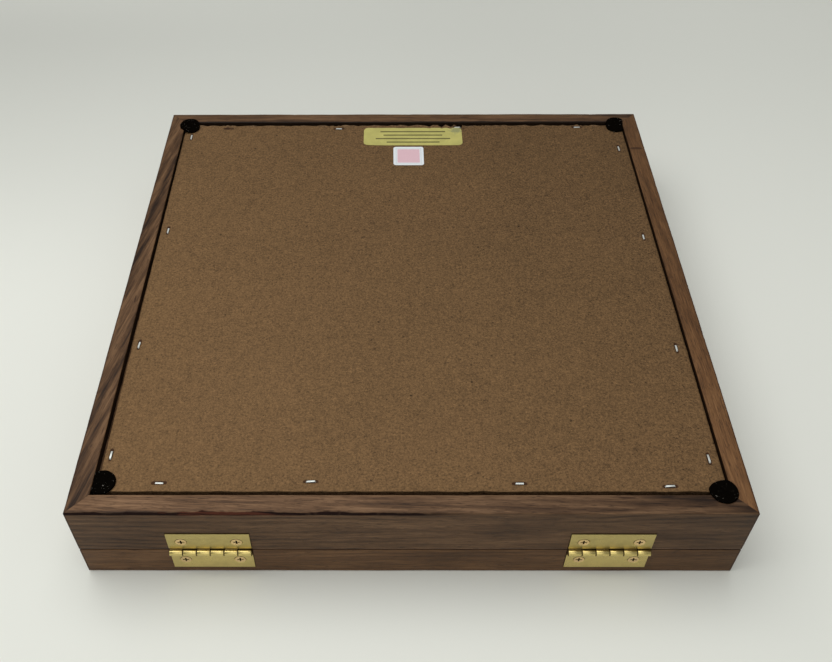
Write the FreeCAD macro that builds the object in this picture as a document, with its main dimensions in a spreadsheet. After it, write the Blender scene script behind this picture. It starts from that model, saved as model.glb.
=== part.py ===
import FreeCAD, Part
import Sketcher
import math
import os

# Hinged wooden display case, lying face down: the glazed lid is below, the box with its hardboard back is
# above, the hinges are on the -Y side and the clasp on the +Y side. Millimetres, +Z up, and the origin is
# in the middle of the footprint, on the surface that the lid's front frame rests on.

VECTOR = FreeCAD.Vector

SIZES = [
    ("case_width", 304.8, "outer size along X"),
    ("case_depth", 304.8, "outer size along Y, without the hardware"),
    ("lid_height", 19.8, "height of the lid's rails"),
    ("seam_gap", 0.4, "open joint between the lid and the box"),
    ("box_height", 30.6, "height of the box's rails"),
    ("rail_wall", 19.05, "thickness of every rail"),
    ("back_lip", 9.525, "width of the rim round the hardboard"),
    ("panel_thickness", 3.2, "hardboard back"),
    ("panel_recess", 2.0, "hardboard's face below the rim"),
    ("panel_gap_left", 1.2, "hardboard to rim, -X side"),
    ("panel_gap_right", 0.6, "hardboard to rim, +X side"),
    ("panel_gap_near", 0.5, "hardboard to rim, -Y side"),
    ("panel_gap_far", 1.1, "hardboard to rim, +Y side"),
    ("lid_lip", 5.0, "front frame in front of the glass"),
    ("glass_rabbet", 6.35, "width of the step that holds the glass"),
    ("sight_bevel", 1.6, "chamfer round the window, on the front"),
    ("front_ease", 0.8, "chamfer round the lid's front, outside"),
    ("glass_thickness", 2.5, "glass pane"),
    ("glass_gap", 1.0, "glass to rail, all round"),
    ("stop_height", 6.0, "glass stops, above the glass"),
    ("nail_radius", 0.8, "corner nails"),
    ("nail_length", 25.0, "corner nails"),
    ("nail_sink", 0.3, "corner nail's head below the rail's face"),
    ("nail_setback", 8.0, "corner nails from the end of the case"),
    ("brad_radius", 0.5, "glass stop's brads"),
    ("brad_length", 10.0, "glass stop's brads"),
    ("nail_clearance", 0.05, "round every nail, brad, screw and staple leg"),
    ("foam_thickness", 9.5, "display pad's foam board"),
    ("cover_thickness", 1.0, "display pad's cloth cover"),
    ("display_pad_gap", 0.6, "display pad to rails"),
    ("staple_crown", 5.4, "staple across its crown"),
    ("staple_leg", 8.0, "staple legs below the crown"),
    ("wire_width", 0.9, "staple wire across"),
    ("wire_height", 0.5, "staple wire through"),
    ("felt_radius", 6.35, "felt feet"),
    ("felt_thickness", 1.2, "felt feet"),
    ("felt_clearance", 0.1, "felt foot to the recess wall"),
    ("foot_reach_near_left", 5.6, "felt foot's middle from the rim's inner edge"),
    ("foot_reach_near_right", 2.6, "felt foot's middle from the rim's inner edge"),
    ("foot_reach_far_left", 3.3, "felt foot's middle from the rim's inner edge"),
    ("foot_reach_far_right", 3.5, "felt foot's middle from the rim's inner edge"),
    ("staple_to_foot", 0.4, "room for a staple beside a felt foot, less half its crown"),
    ("gold_length", 63.5, "gold label along X"),
    ("gold_width", 19.05, "gold label along Y"),
    ("gold_corner", 2.4, "gold label's corner radius"),
    ("gold_x", 5.9, "gold label's middle"),
    ("gold_inset", 22.6, "gold label's middle from the far face"),
    ("sticker_side", 19.05, "square white sticker"),
    ("sticker_corner", 1.6, "white sticker's corner radius"),
    ("sticker_x", 2.8, "white sticker's middle"),
    ("sticker_inset", 43.4, "white sticker's middle from the far face"),
    ("label_thickness", 0.15, "both labels"),
    ("hinge_offset", 91.7, "hinge's middle from the case's middle"),
    ("hinge_length", 38.1, "hinge along its pin"),
    ("leaf_reach", 14.5, "leaf from the pin's axis to its edge"),
    ("leaf_thickness", 1.0, "hinge leaf"),
    ("mortise_depth", 0.6, "hinge leaf let into the wood"),
    ("mortise_margin", 0.2, "mortise round the leaf"),
    ("barrel_radius", 1.65, "hinge knuckle"),
    ("barrel_clearance", 0.35, "knuckle to wood and to the other leaf"),
    ("knuckle_gap", 0.2, "between two knuckles"),
    ("pin_drop", 0.8, "hinge pin below the middle of the seam"),
    ("pin_radius", 0.8, "hinge pin"),
    ("pin_clearance", 0.05, "hinge pin in its knuckles, radial"),
    ("screw_spacing", 25.4, "a leaf's two screws"),
    ("screw_reach", 7.7, "screw's axis from the pin's axis"),
    ("screw_head_radius", 2.6, "flat head"),
    ("screw_head_height", 1.5, "flat head"),
    ("screw_shank_radius", 1.35, "hinge screw"),
    ("screw_length", 9.5, "hinge screw"),
    ("screw_margin", 0.3, "countersink round the screw's head"),
    ("screw_slot_width", 0.7, "cross recess"),
    ("screw_slot_length", 3.0, "cross recess"),
    ("screw_slot_depth", 1.0, "cross recess"),
    ("clasp_plate_thickness", 0.8, "clasp's base plate and catch plate"),
    ("clasp_layer_gap", 0.3, "hook to plate and to heads"),
    ("hook_thickness", 1.0, "clasp's hook"),
    ("hook_width", 5.0, "clasp's hook"),
    ("hook_reach", 20.2, "pivot to catch stud"),
    ("hook_tail", 5.6, "hook past the catch stud"),
    ("heel_swell", 0.5, "hook's round end beyond its width"),
    ("pivot_height", 10.0, "pivot above the lid's front"),
    ("pivot_radius", 1.5, "clasp's pivot and catch stud"),
    ("stud_clearance", 0.35, "catch stud in the hook's slot, radial"),
    ("clasp_head_radius", 2.6, "pivot's head and stud's head"),
    ("clasp_head_height", 1.0, "pivot's head and stud's head"),
    ("clasp_corner", 1.6, "corner radius of the clasp's plates"),
    ("stud_depth", 5.0, "pivot and catch stud in the wood"),
    ("base_plate_back", 13.6, "base plate from the pivot, away from the hook"),
    ("base_plate_front", 8.4, "base plate from the pivot, under the hook"),
    ("base_plate_half", 6.2, "half the base plate's height"),
    ("base_screw_back", 10.5, "base plate's screws from the pivot"),
    ("base_screw_half", 3.1, "half the spacing of the base plate's screws"),
    ("catch_plate_back", 11.6, "catch plate from the stud, on the screws' side"),
    ("catch_plate_front", 4.4, "catch plate from the stud, on the hook's side"),
    ("catch_plate_half", 6.4, "half the catch plate's height"),
    ("catch_screw_back", 8.4, "catch plate's screws from the stud"),
    ("catch_screw_half", 3.2, "half the spacing of the catch plate's screws"),
    ("stop_start", 3.6, "hook's stop from the pivot"),
    ("stop_width", 4.0, "hook's stop along the hook"),
    ("stop_thickness", 1.2, "hook's stop"),
    ("stop_gap", 0.1, "hook to its stop"),
    ("clasp_screw_radius", 0.9, "clasp's screws"),
    ("clasp_screw_length", 7.0, "clasp's screws"),
    ("clasp_screw_head", 1.9, "clasp screw's head, radius"),
    ("clasp_screw_dome", 1.0, "clasp screw's head, height"),
]

doc = FreeCAD.newDocument("display_case")
sheet = doc.addObject("Spreadsheet::Sheet", "Sizes")
for row, (alias, value, meaning) in enumerate(SIZES, start=1):
    sheet.set(f"A{row}", meaning)
    sheet.set(f"B{row}", str(value))
    sheet.setAlias(f"B{row}", alias)
doc.recompute()

# Places that several pieces share, as expressions on the sheet.
HALF_WIDTH = "(Sizes.case_width / 2)"
HALF_DEPTH = "(Sizes.case_depth / 2)"
BOX_FLOOR = "(Sizes.lid_height + Sizes.seam_gap)"
RIM = f"({BOX_FLOOR} + Sizes.box_height)"
PANEL_FACE = f"({RIM} - Sizes.panel_recess)"
LEDGE = f"({PANEL_FACE} - Sizes.panel_thickness)"
GLASS_FACE = "(Sizes.lid_lip + Sizes.glass_thickness)"
LEAF_BACK = f"(-{HALF_DEPTH} + Sizes.mortise_depth)"
LEAF_FRONT = f"({LEAF_BACK} - Sizes.leaf_thickness)"
AXIS_Y = f"({LEAF_BACK} - Sizes.barrel_radius)"
AXIS_Z = "(Sizes.lid_height + Sizes.seam_gap / 2 - Sizes.pin_drop)"
BARREL_ROOM = "(Sizes.barrel_radius + Sizes.barrel_clearance)"
CLASP_PLATE_TOP = f"({HALF_DEPTH} + Sizes.clasp_plate_thickness)"
HOOK_BACK = f"({CLASP_PLATE_TOP} + Sizes.clasp_layer_gap)"
CLASP_HEAD_BACK = f"({HOOK_BACK} + Sizes.hook_thickness + Sizes.clasp_layer_gap)"
STUD_HEIGHT = "(Sizes.pivot_height + Sizes.hook_reach)"

ALONG_X = FreeCAD.Rotation(VECTOR(0, 1, 0), 90)
TOWARDS_NEAR = FreeCAD.Rotation(VECTOR(1, 0, 0), 90)
TOWARDS_FAR = FreeCAD.Rotation(VECTOR(1, 0, 0), -90)
QUARTER_TURN = FreeCAD.Rotation(VECTOR(0, 0, 1), 90)
UPRIGHT = FreeCAD.Rotation()

OVERRUN = 1  # how far a through hole's tool stands out of the piece, mm

nodes = []


def bind(piece, **expressions):
    """Ties properties of a piece to the sheet."""
    for name, expression in expressions.items():
        piece.setExpression(name, expression)
    return piece


def place(piece, at, rotation=UPRIGHT):
    """Turns a piece and ties its place to the sheet."""
    piece.Placement = FreeCAD.Placement(VECTOR(0, 0, 0), rotation)
    for axis, expression in zip("xyz", at):
        piece.setExpression(f"Placement.Base.{axis}", expression)
    return piece


def block(name, size, at):
    """A box with its lowest corner at a place."""
    piece = doc.addObject("Part::Box", name)
    bind(piece, Length=size[0], Width=size[1], Height=size[2])
    return place(piece, at)


def rod(name, radius, length, at, rotation=UPRIGHT):
    """A cylinder from a place, along the turned Z."""
    piece = doc.addObject("Part::Cylinder", name)
    bind(piece, Radius=radius, Height=length)
    return place(piece, at, rotation)


def copy_of(master, name, at, rotation=UPRIGHT):
    """Another one of a piece that is made once."""
    piece = doc.addObject("App::Link", name)
    piece.LinkedObject = master
    return place(piece, at, rotation)


def joined(name, pieces):
    """One solid from several that meet."""
    whole = doc.addObject("Part::MultiFuse", name)
    whole.Shapes = pieces
    return whole


def grouped(name, pieces):
    """Separate solids kept together."""
    whole = doc.addObject("Part::Compound", name)
    whole.Links = pieces
    return whole


def cut(name, base, tools):
    """A piece with every tool's shape taken away."""
    tool = tools[0] if len(tools) == 1 else joined(name + "_tools", tools)
    rest = doc.addObject("Part::Cut", name)
    rest.Base = base
    rest.Tool = tool
    return rest


def node(name, piece):
    """Names a finished sub-part."""
    piece.Label = name
    nodes.append(piece)
    return piece


def plane_of(body, role):
    """One of a body's own origin planes."""
    return next(feature for feature in body.Origin.OriginFeatures if feature.Role == role)


def outline(body, name, corners, role="XY_Plane", height="0"):
    """A closed sketch whose corners are tied to the sheet, on an origin plane moved up by height."""
    sketch = body.newObject("Sketcher::SketchObject", name)
    sketch.AttachmentSupport = [(plane_of(body, role), "")]
    sketch.MapMode = "FlatFace"
    sketch.setExpression("AttachmentOffset.Base.z", height)
    count = len(corners)
    turns = [2 * math.pi * k / count for k in range(count)]
    start = [VECTOR(math.cos(turn), math.sin(turn), 0) for turn in turns]
    for k in range(count):
        sketch.addGeometry(Part.LineSegment(start[k], start[(k + 1) % count]), False)
    for k in range(count):
        sketch.addConstraint(Sketcher.Constraint("Coincident", k, 2, (k + 1) % count, 1))
    for k, (along, across) in enumerate(corners):
        for kind, expression, value in (("DistanceX", along, start[k].x), ("DistanceY", across, start[k].y)):
            constraint = sketch.addConstraint(Sketcher.Constraint(kind, -1, 1, k, 1, value))
            sketch.setExpression(f"Constraints[{constraint}]", expression)
    return sketch


def pad(body, sketch, length):
    """Raises a sketch along its normal."""
    feature = body.newObject("PartDesign::Pad", sketch.Name + "_pad")
    feature.Profile = sketch
    return bind(feature, Length=length)


def pocket(body, sketch, depth):
    """Sinks a sketch into the body, and makes sure that it took something away."""
    doc.recompute()
    before = body.Shape.Volume
    feature = body.newObject("PartDesign::Pocket", sketch.Name + "_pocket")
    feature.Profile = sketch
    bind(feature, Length=depth)
    doc.recompute()
    if not body.Shape.Volume < before:
        raise RuntimeError(f"{feature.Name} took nothing away")
    return feature


def revolved(name, corners):
    """A body turned about Z from corners given as radius and height."""
    body = doc.addObject("PartDesign::Body", name)
    sketch = outline(body, name + "_profile", corners, role="XZ_Plane")
    feature = body.newObject("PartDesign::Revolution", name + "_turned")
    feature.Profile = sketch
    feature.ReferenceAxis = (sketch, ["V_Axis"])
    feature.Angle = 360
    return body


def rounded_plate(name, low, high, thickness, corner, height):
    """A flat plate with round corners, from its lowest and highest corners in plan."""
    body = doc.addObject("PartDesign::Body", name)
    corners = [(low[0], low[1]), (high[0], low[1]), (high[0], high[1]), (low[0], high[1])]
    plate = pad(body, outline(body, name + "_plan", corners, height=height), thickness)
    doc.recompute()
    upright = [f"Edge{k + 1}" for k, edge in enumerate(plate.Shape.Edges)
               if abs(edge.tangentAt(edge.FirstParameter).z) > 0.9]
    rounding = body.newObject("PartDesign::Fillet", name + "_corners")
    rounding.Base = (plate, upright)
    bind(rounding, Radius=corner)
    return body


# A rail is drawn as the one on the -Y side and turned to its own side.
SIDES = {
    "hinge_side": (0, HALF_WIDTH, HALF_DEPTH),
    "right": (90, HALF_DEPTH, HALF_WIDTH),
    "latch_side": (180, HALF_WIDTH, HALF_DEPTH),
    "left": (270, HALF_DEPTH, HALF_WIDTH),
}


def mitred_strip(name, side, inset, width, floor, height):
    """A strip along one side with both ends mitred at 45 degrees."""
    turn, half_run, reach = SIDES[side]
    end = f"({half_run} - {inset})"
    face = f"({reach} - {inset})"
    body = doc.addObject("PartDesign::Body", name)
    corners = [
        (f"-{end}", f"-{face}"),
        (end, f"-{face}"),
        (f"{end} - {width}", f"-{face} + {width}"),
        (f"-{end} + {width}", f"-{face} + {width}"),
    ]
    pad(body, outline(body, name + "_plan", corners, height=floor), height)
    body.Placement = FreeCAD.Placement(VECTOR(0, 0, 0), FreeCAD.Rotation(VECTOR(0, 0, 1), turn))
    return body


def rabbet(body, side, lip, top, depth):
    """The step along a rail's inner top edge, which leaves a lip of the given width."""
    half_run, reach = SIDES[side][1:]
    corners = [
        (f"-{half_run}", f"-{reach} + {lip}"),
        (half_run, f"-{reach} + {lip}"),
        (half_run, f"-{reach} + Sizes.rail_wall"),
        (f"-{half_run}", f"-{reach} + Sizes.rail_wall"),
    ]
    pocket(body, outline(body, body.Name + "_step", corners, height=top), depth)


def bevel_bottom_edge(body, name, distance, size):
    """A chamfer on the edge of the underside that lies at a distance behind the outer face."""
    doc.recompute()
    tip = body.Tip
    edges = [f"Edge{k + 1}" for k, edge in enumerate(tip.Shape.Edges)
             if edge.BoundBox.ZMax < 1e-6 and edge.BoundBox.YLength < 1e-6
             and abs(edge.BoundBox.YMin - tip.Shape.BoundBox.YMin - distance) < 0.01]
    chamfer = body.newObject("PartDesign::Chamfer", body.Name + name)
    chamfer.Base = (tip, edges)
    bind(chamfer, Size=size)


# Screw, with its cross recess, standing on Z with the head's face at 0; and the shape of the hole for it.
def screw_corners(margin):
    """Radius and height of a flat-head screw's outline, grown by a margin."""
    head = f"(Sizes.screw_head_radius + {margin})"
    shank = f"(Sizes.screw_shank_radius + Sizes.nail_clearance * {margin} / Sizes.screw_margin)"
    return [
        ("0", "0"),
        (head, "0"),
        (shank, "-Sizes.screw_head_height"),
        (shank, "-Sizes.screw_length + Sizes.screw_shank_radius"),
        ("0", f"-Sizes.screw_length - Sizes.nail_clearance * {margin} / Sizes.screw_margin"),
    ]


hinge_screw = revolved("hinge_screw", screw_corners("0"))
arm = "Sizes.screw_slot_length / 2"
half_slot = "Sizes.screw_slot_width / 2"
cross = [
    (half_slot, half_slot), (arm, half_slot), (arm, f"-{half_slot}"), (half_slot, f"-{half_slot}"),
    (half_slot, f"-{arm}"), (f"-{half_slot}", f"-{arm}"), (f"-{half_slot}", f"-{half_slot}"),
    (f"-{arm}", f"-{half_slot}"), (f"-{arm}", half_slot), (f"-{half_slot}", half_slot),
    (f"-{half_slot}", arm), (half_slot, arm),
]
pocket(hinge_screw, outline(hinge_screw, "cross_recess", cross), "Sizes.screw_slot_depth")
screw_hole = revolved("screw_hole", screw_corners("Sizes.screw_margin"))

clasp_screw = revolved("clasp_screw", [
    ("0", "Sizes.clasp_screw_dome"),
    ("Sizes.clasp_screw_head * 0.7", "Sizes.clasp_screw_dome * 0.8"),
    ("Sizes.clasp_screw_head", "0"),
    ("Sizes.clasp_screw_radius", "0"),
    ("Sizes.clasp_screw_radius", "-Sizes.clasp_screw_length + Sizes.clasp_screw_radius"),
    ("0", "-Sizes.clasp_screw_length"),
])

# Staple with its crown on the hardboard's face at 0, and the two holes that its legs make.
half_crown = "(Sizes.staple_crown / 2)"
leg_height = "Sizes.staple_leg + Sizes.wire_height"
staple = joined("staple", [
    block("staple_crown", ("Sizes.staple_crown", "Sizes.wire_width", "Sizes.wire_height"),
          (f"-{half_crown}", "-Sizes.wire_width / 2", "0")),
    *[block(f"staple_leg_{side}", ("Sizes.wire_height", "Sizes.wire_width", leg_height),
            (x, "-Sizes.wire_width / 2", "-Sizes.staple_leg"))
      for side, x in (("a", f"-{half_crown}"), ("b", f"{half_crown} - Sizes.wire_height"))],
])
leg_room = "(Sizes.wire_height + 2 * Sizes.nail_clearance)"
leg_width = "Sizes.wire_width + 2 * Sizes.nail_clearance"
staple_holes = grouped("staple_holes", [
    block(f"staple_hole_{side}",
          (leg_room, leg_width, "Sizes.staple_leg + Sizes.nail_clearance"),
          (x, "-Sizes.wire_width / 2 - Sizes.nail_clearance", "-Sizes.staple_leg - Sizes.nail_clearance"))
    for side, x in (("a", f"-{half_crown} - Sizes.nail_clearance"),
                    ("b", f"{half_crown} - Sizes.wire_height - Sizes.nail_clearance"))
])

# Each staple: its place along the side as a share of the stretch between the felt feet, and its place across
# the ledge under the hardboard as a share of the ledge's width.
STAPLES = {
    "near": [(-0.854, 0.806), (-0.338, 0.879), (0.372, 0.774), (0.880, 0.617)],
    "left": [(-0.903, 0.491), (-0.386, 0.522), (0.285, 0.554), (0.978, 0.564)],
    "right": [(-0.918, 0.554), (-0.404, 0.596), (0.242, 0.659), (0.880, 0.648)],
    "far": [(-0.861, 0.396), (-0.318, 0.438), (0.264, 0.291), (0.853, 0.302)],
}
CORNER_ROOM = "(Sizes.back_lip + Sizes.foot_reach_far_left + Sizes.felt_radius + Sizes.staple_to_foot)"


def staple_place(side, along, across):
    """Place and turn of one staple."""
    inset = f"(Sizes.back_lip + {across} * (Sizes.rail_wall - Sizes.back_lip))"
    spots = {
        "near": (f"({HALF_WIDTH} - {CORNER_ROOM}) * {along}", f"-{HALF_DEPTH} + {inset}"),
        "far": (f"({HALF_WIDTH} - {CORNER_ROOM}) * {along}", f"{HALF_DEPTH} - {inset}"),
        "left": (f"-{HALF_WIDTH} + {inset}", f"({HALF_DEPTH} - {CORNER_ROOM}) * {along}"),
        "right": (f"{HALF_WIDTH} - {inset}", f"({HALF_DEPTH} - {CORNER_ROOM}) * {along}"),
    }
    turn = QUARTER_TURN if side in ("left", "right") else UPRIGHT
    return (*spots[side], PANEL_FACE), turn


staples = []
staple_cuts = {side: [] for side in STAPLES}
for side, row in STAPLES.items():
    for number, (along, across) in enumerate(row, start=1):
        spot, turn = staple_place(side, along, across)
        staples.append(copy_of(staple, f"staple_{side}_{number}", spot, turn))
        staple_cuts[side].append(copy_of(staple_holes, f"staple_cut_{side}_{number}", spot, turn))

# Corner nails go in from the left and right faces, through the mitre, into the ends of the other two rails.
nails = {"box": [], "lid": []}
nail_cuts = {(frame, corner): [] for frame in nails for corner in ("ln", "lf", "rn", "rf")}
hole_length = "Sizes.nail_length + Sizes.nail_sink + Sizes.nail_clearance"
NAIL_HEIGHTS = {"box": [f"{BOX_FLOOR} + Sizes.box_height * 0.25", f"{BOX_FLOOR} + Sizes.box_height * 0.7"],
                "lid": ["Sizes.lid_height * 0.55"]}
for frame, heights in NAIL_HEIGHTS.items():
    for corner in ("ln", "lf", "rn", "rf"):
        for number, height in enumerate(heights, start=1):
            left, near = corner[0] == "l", corner[1] == "n"
            y = f"-{HALF_DEPTH} + Sizes.nail_setback" if near else f"{HALF_DEPTH} - Sizes.nail_setback"
            head = f"-{HALF_WIDTH} + Sizes.nail_sink" if left else f"{HALF_WIDTH} - Sizes.nail_sink"
            turn = ALONG_X if left else ALONG_X.inverted()
            nails[frame].append(rod(
                f"{frame}_nail_{corner}_{number}", "Sizes.nail_radius", "Sizes.nail_length",
                (head, y, height), turn))
            mouth = f"-{HALF_WIDTH}" if left else HALF_WIDTH
            nail_cuts[frame, corner].append(rod(
                f"{frame}_nail_hole_{corner}_{number}", "Sizes.nail_radius + Sizes.nail_clearance",
                hole_length, (mouth, y, height), turn))


def hinge_place(side):
    """Middle of one hinge along X."""
    return "(-Sizes.hinge_offset)" if side == "left" else "(Sizes.hinge_offset)"


def knuckle_start(middle, number):
    """Left end of one of the six knuckles."""
    return f"({middle} - Sizes.hinge_length / 2 + Sizes.hinge_length * {number} / 6 + Sizes.knuckle_gap / 2)"


def hinge_leaf(name, middle, upper):
    """A leaf with three of the six knuckles, bored for the pin and countersunk for two screws."""
    length = "Sizes.hinge_length"
    plate_height = f"(Sizes.leaf_reach - {BARREL_ROOM})"
    floor = f"({AXIS_Z} + {BARREL_ROOM})" if upper else f"({AXIS_Z} - Sizes.leaf_reach)"
    parts = [block(name + "_plate", (length, "Sizes.leaf_thickness", plate_height),
                   (f"{middle} - {length} / 2", LEAF_FRONT, floor))]
    knuckle_length = "(Sizes.hinge_length / 6 - Sizes.knuckle_gap)"
    for number in range(0 if upper else 1, 6, 2):
        start = knuckle_start(middle, number)
        tab_floor = AXIS_Z if upper else f"({AXIS_Z} - {BARREL_ROOM})"
        parts.append(block(f"{name}_tab_{number}", (knuckle_length, "Sizes.leaf_thickness", BARREL_ROOM),
                           (start, LEAF_FRONT, tab_floor)))
        parts.append(rod(f"{name}_knuckle_{number}", "Sizes.barrel_radius", knuckle_length,
                         (start, AXIS_Y, AXIS_Z), ALONG_X))
    bore = rod(name + "_bore", "Sizes.pin_radius + Sizes.pin_clearance", f"{length} + 2 * {OVERRUN}",
               (f"{middle} - {length} / 2 - {OVERRUN}", AXIS_Y, AXIS_Z), ALONG_X)
    return parts, bore


def screw_spots(middle, upper):
    """Where a leaf's two screws go."""
    height = f"{AXIS_Z} + Sizes.screw_reach" if upper else f"{AXIS_Z} - Sizes.screw_reach"
    return [(f"{middle} {sign} Sizes.screw_spacing / 2", LEAF_FRONT, height) for sign in "-+"]


# Hinges. The lid's and the box's hinge-side rails share one mortise shape for each hinge.
hinge_cuts = []
screw_cuts = {"box": [], "lid": []}
mortise_height = "2 * (Sizes.leaf_reach + Sizes.mortise_margin)"
for side in ("left", "right"):
    middle = hinge_place(side)
    run = "(Sizes.hinge_length + 2 * Sizes.mortise_margin)"
    start = f"{middle} - {run} / 2"
    hinge_cuts.append(block(f"mortise_{side}", (run, "Sizes.mortise_depth", mortise_height),
                            (start, f"-{HALF_DEPTH}", f"{AXIS_Z} - Sizes.leaf_reach - Sizes.mortise_margin")))
    hinge_cuts.append(rod(f"barrel_room_{side}", BARREL_ROOM, run, (start, AXIS_Y, AXIS_Z), ALONG_X))
    for frame, upper in (("box", True), ("lid", False)):
        label = f"hinge_{side}_{frame}"
        parts, bore = hinge_leaf(label, middle, upper)
        spots = screw_spots(middle, upper)
        holes = [copy_of(screw_hole, f"{label}_screw_hole_{k}", spot, TOWARDS_NEAR)
                 for k, spot in enumerate(spots)]
        screw_cuts[frame] += holes
        node(label + "_leaf", cut(label + "_leaf", joined(label + "_blank", parts), [bore, *holes]))
        node(label + "_screws", grouped(label + "_screws", [
            copy_of(hinge_screw, f"{label}_screw_{k}", spot, TOWARDS_NEAR) for k, spot in enumerate(spots)]))
    node(f"hinge_{side}_pin", rod(f"hinge_{side}_pin", "Sizes.pin_radius", "Sizes.hinge_length",
                                  (f"{middle} - Sizes.hinge_length / 2", AXIS_Y, AXIS_Z), ALONG_X))

# Clasp: a hook pivoted on the lid swings up to a headed stud on the box. It is drawn swung down.
PLATE = "Sizes.clasp_plate_thickness"
HOOK_FLOOR = "(Sizes.pivot_height - Sizes.hook_width / 2)"


def clasp_hole(name, radius, depth, x, height):
    """A round hole through a clasp plate and on into the wood."""
    return rod(name, f"{radius} + Sizes.nail_clearance", f"{depth} + {PLATE} + Sizes.nail_clearance",
               (x, CLASP_PLATE_TOP, height), TOWARDS_NEAR)


def wall_plate(name, low, high):
    """A rounded plate flat on the latch side's face, from its corners along X and in height."""
    body = rounded_plate(name, (low[0], f"-({high[1]})"), (high[0], f"-({low[1]})"), PLATE,
                         "Sizes.clasp_corner", "0")
    return place(body, ("0", HALF_DEPTH, "0"), TOWARDS_FAR)


def headed_stud(name, height):
    """A round stud let into the wood, with a wide head outside the hook."""
    shank = rod(name + "_shank", "Sizes.pivot_radius", f"{CLASP_HEAD_BACK} - {HALF_DEPTH} + Sizes.stud_depth",
                ("0", f"{HALF_DEPTH} - Sizes.stud_depth", height), TOWARDS_FAR)
    head = rod(name + "_head", "Sizes.clasp_head_radius", "Sizes.clasp_head_height",
               ("0", CLASP_HEAD_BACK, height), TOWARDS_FAR)
    return joined(name, [shank, head])


# The catch plate lies on the box round the stud, and the base plate on the lid round the pivot.
clasp_holes = {}
for part, height in (("base", "Sizes.pivot_height"), ("catch", STUD_HEIGHT)):
    screw_x = f"-Sizes.{part}_screw_back"
    heights = [f"{height} {sign} Sizes.{part}_screw_half" for sign in "-+"]
    clasp_holes[part] = [clasp_hole(f"clasp_{part}_stud_hole", "Sizes.pivot_radius", "Sizes.stud_depth",
                                    "0", height)]
    for k, screw_height in enumerate(heights):
        clasp_holes[part].append(clasp_hole(f"clasp_{part}_hole_{k}", "Sizes.clasp_screw_radius",
                                            "Sizes.clasp_screw_length", screw_x, screw_height))
    plate = wall_plate(f"clasp_{part}", (f"-Sizes.{part}_plate_back", f"{height} - Sizes.{part}_plate_half"),
                       (f"Sizes.{part}_plate_front", f"{height} + Sizes.{part}_plate_half"))
    if part == "base":
        stop_depth = f"{PLATE} + Sizes.clasp_layer_gap + Sizes.hook_thickness"
        stop_floor = f"{HOOK_FLOOR} - Sizes.stop_gap - Sizes.stop_thickness"
        stop = block("clasp_stop", ("Sizes.stop_width", stop_depth, "Sizes.stop_thickness"),
                     ("Sizes.stop_start", HALF_DEPTH, stop_floor))
        plate = joined("clasp_base_blank", [plate, stop])
    node(f"clasp_{part}_plate", cut(f"clasp_{part}_cut", plate, clasp_holes[part]))
    node(f"clasp_{part}_screws", grouped(f"clasp_{part}_screws", [
        copy_of(clasp_screw, f"clasp_{part}_screw_{k}", (screw_x, CLASP_PLATE_TOP, screw_height), TOWARDS_FAR)
        for k, screw_height in enumerate(heights)]))
node("clasp_pivot_rivet", headed_stud("clasp_pivot", "Sizes.pivot_height"))
node("clasp_catch_stud", headed_stud("clasp_stud", STUD_HEIGHT))

hook_end = "Sizes.hook_reach + Sizes.hook_tail - Sizes.hook_width / 2"
hook_bar = block("hook_bar", (hook_end, "Sizes.hook_thickness", "Sizes.hook_width"),
                 ("0", HOOK_BACK, HOOK_FLOOR))
hook_heel = rod("hook_heel", "Sizes.hook_width / 2 + Sizes.heel_swell", "Sizes.hook_thickness",
                ("0", HOOK_BACK, "Sizes.pivot_height"), TOWARDS_FAR)
hook_tip = rod("hook_tip", "Sizes.hook_width / 2", "Sizes.hook_thickness",
               (hook_end, HOOK_BACK, "Sizes.pivot_height"), TOWARDS_FAR)
slot_radius = "(Sizes.pivot_radius + Sizes.stud_clearance)"
through = f"Sizes.hook_thickness + 2 * {OVERRUN}"
tool_start = f"{HOOK_BACK} - {OVERRUN}"
slot_round = rod("hook_slot_round", slot_radius, through,
                 ("Sizes.hook_reach", tool_start, "Sizes.pivot_height"), TOWARDS_FAR)
slot_mouth = block("hook_slot_mouth", (f"2 * {slot_radius}", through, "Sizes.hook_width"),
                   (f"Sizes.hook_reach - {slot_radius}", tool_start, "Sizes.pivot_height"))
hook_eye = rod("hook_eye", "Sizes.pivot_radius + Sizes.pin_clearance", through,
               ("0", tool_start, "Sizes.pivot_height"), TOWARDS_FAR)
hook_blank = joined("hook_blank", [hook_bar, hook_heel, hook_tip])
node("clasp_hook", cut("hook", hook_blank, [slot_round, slot_mouth, hook_eye]))

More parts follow.
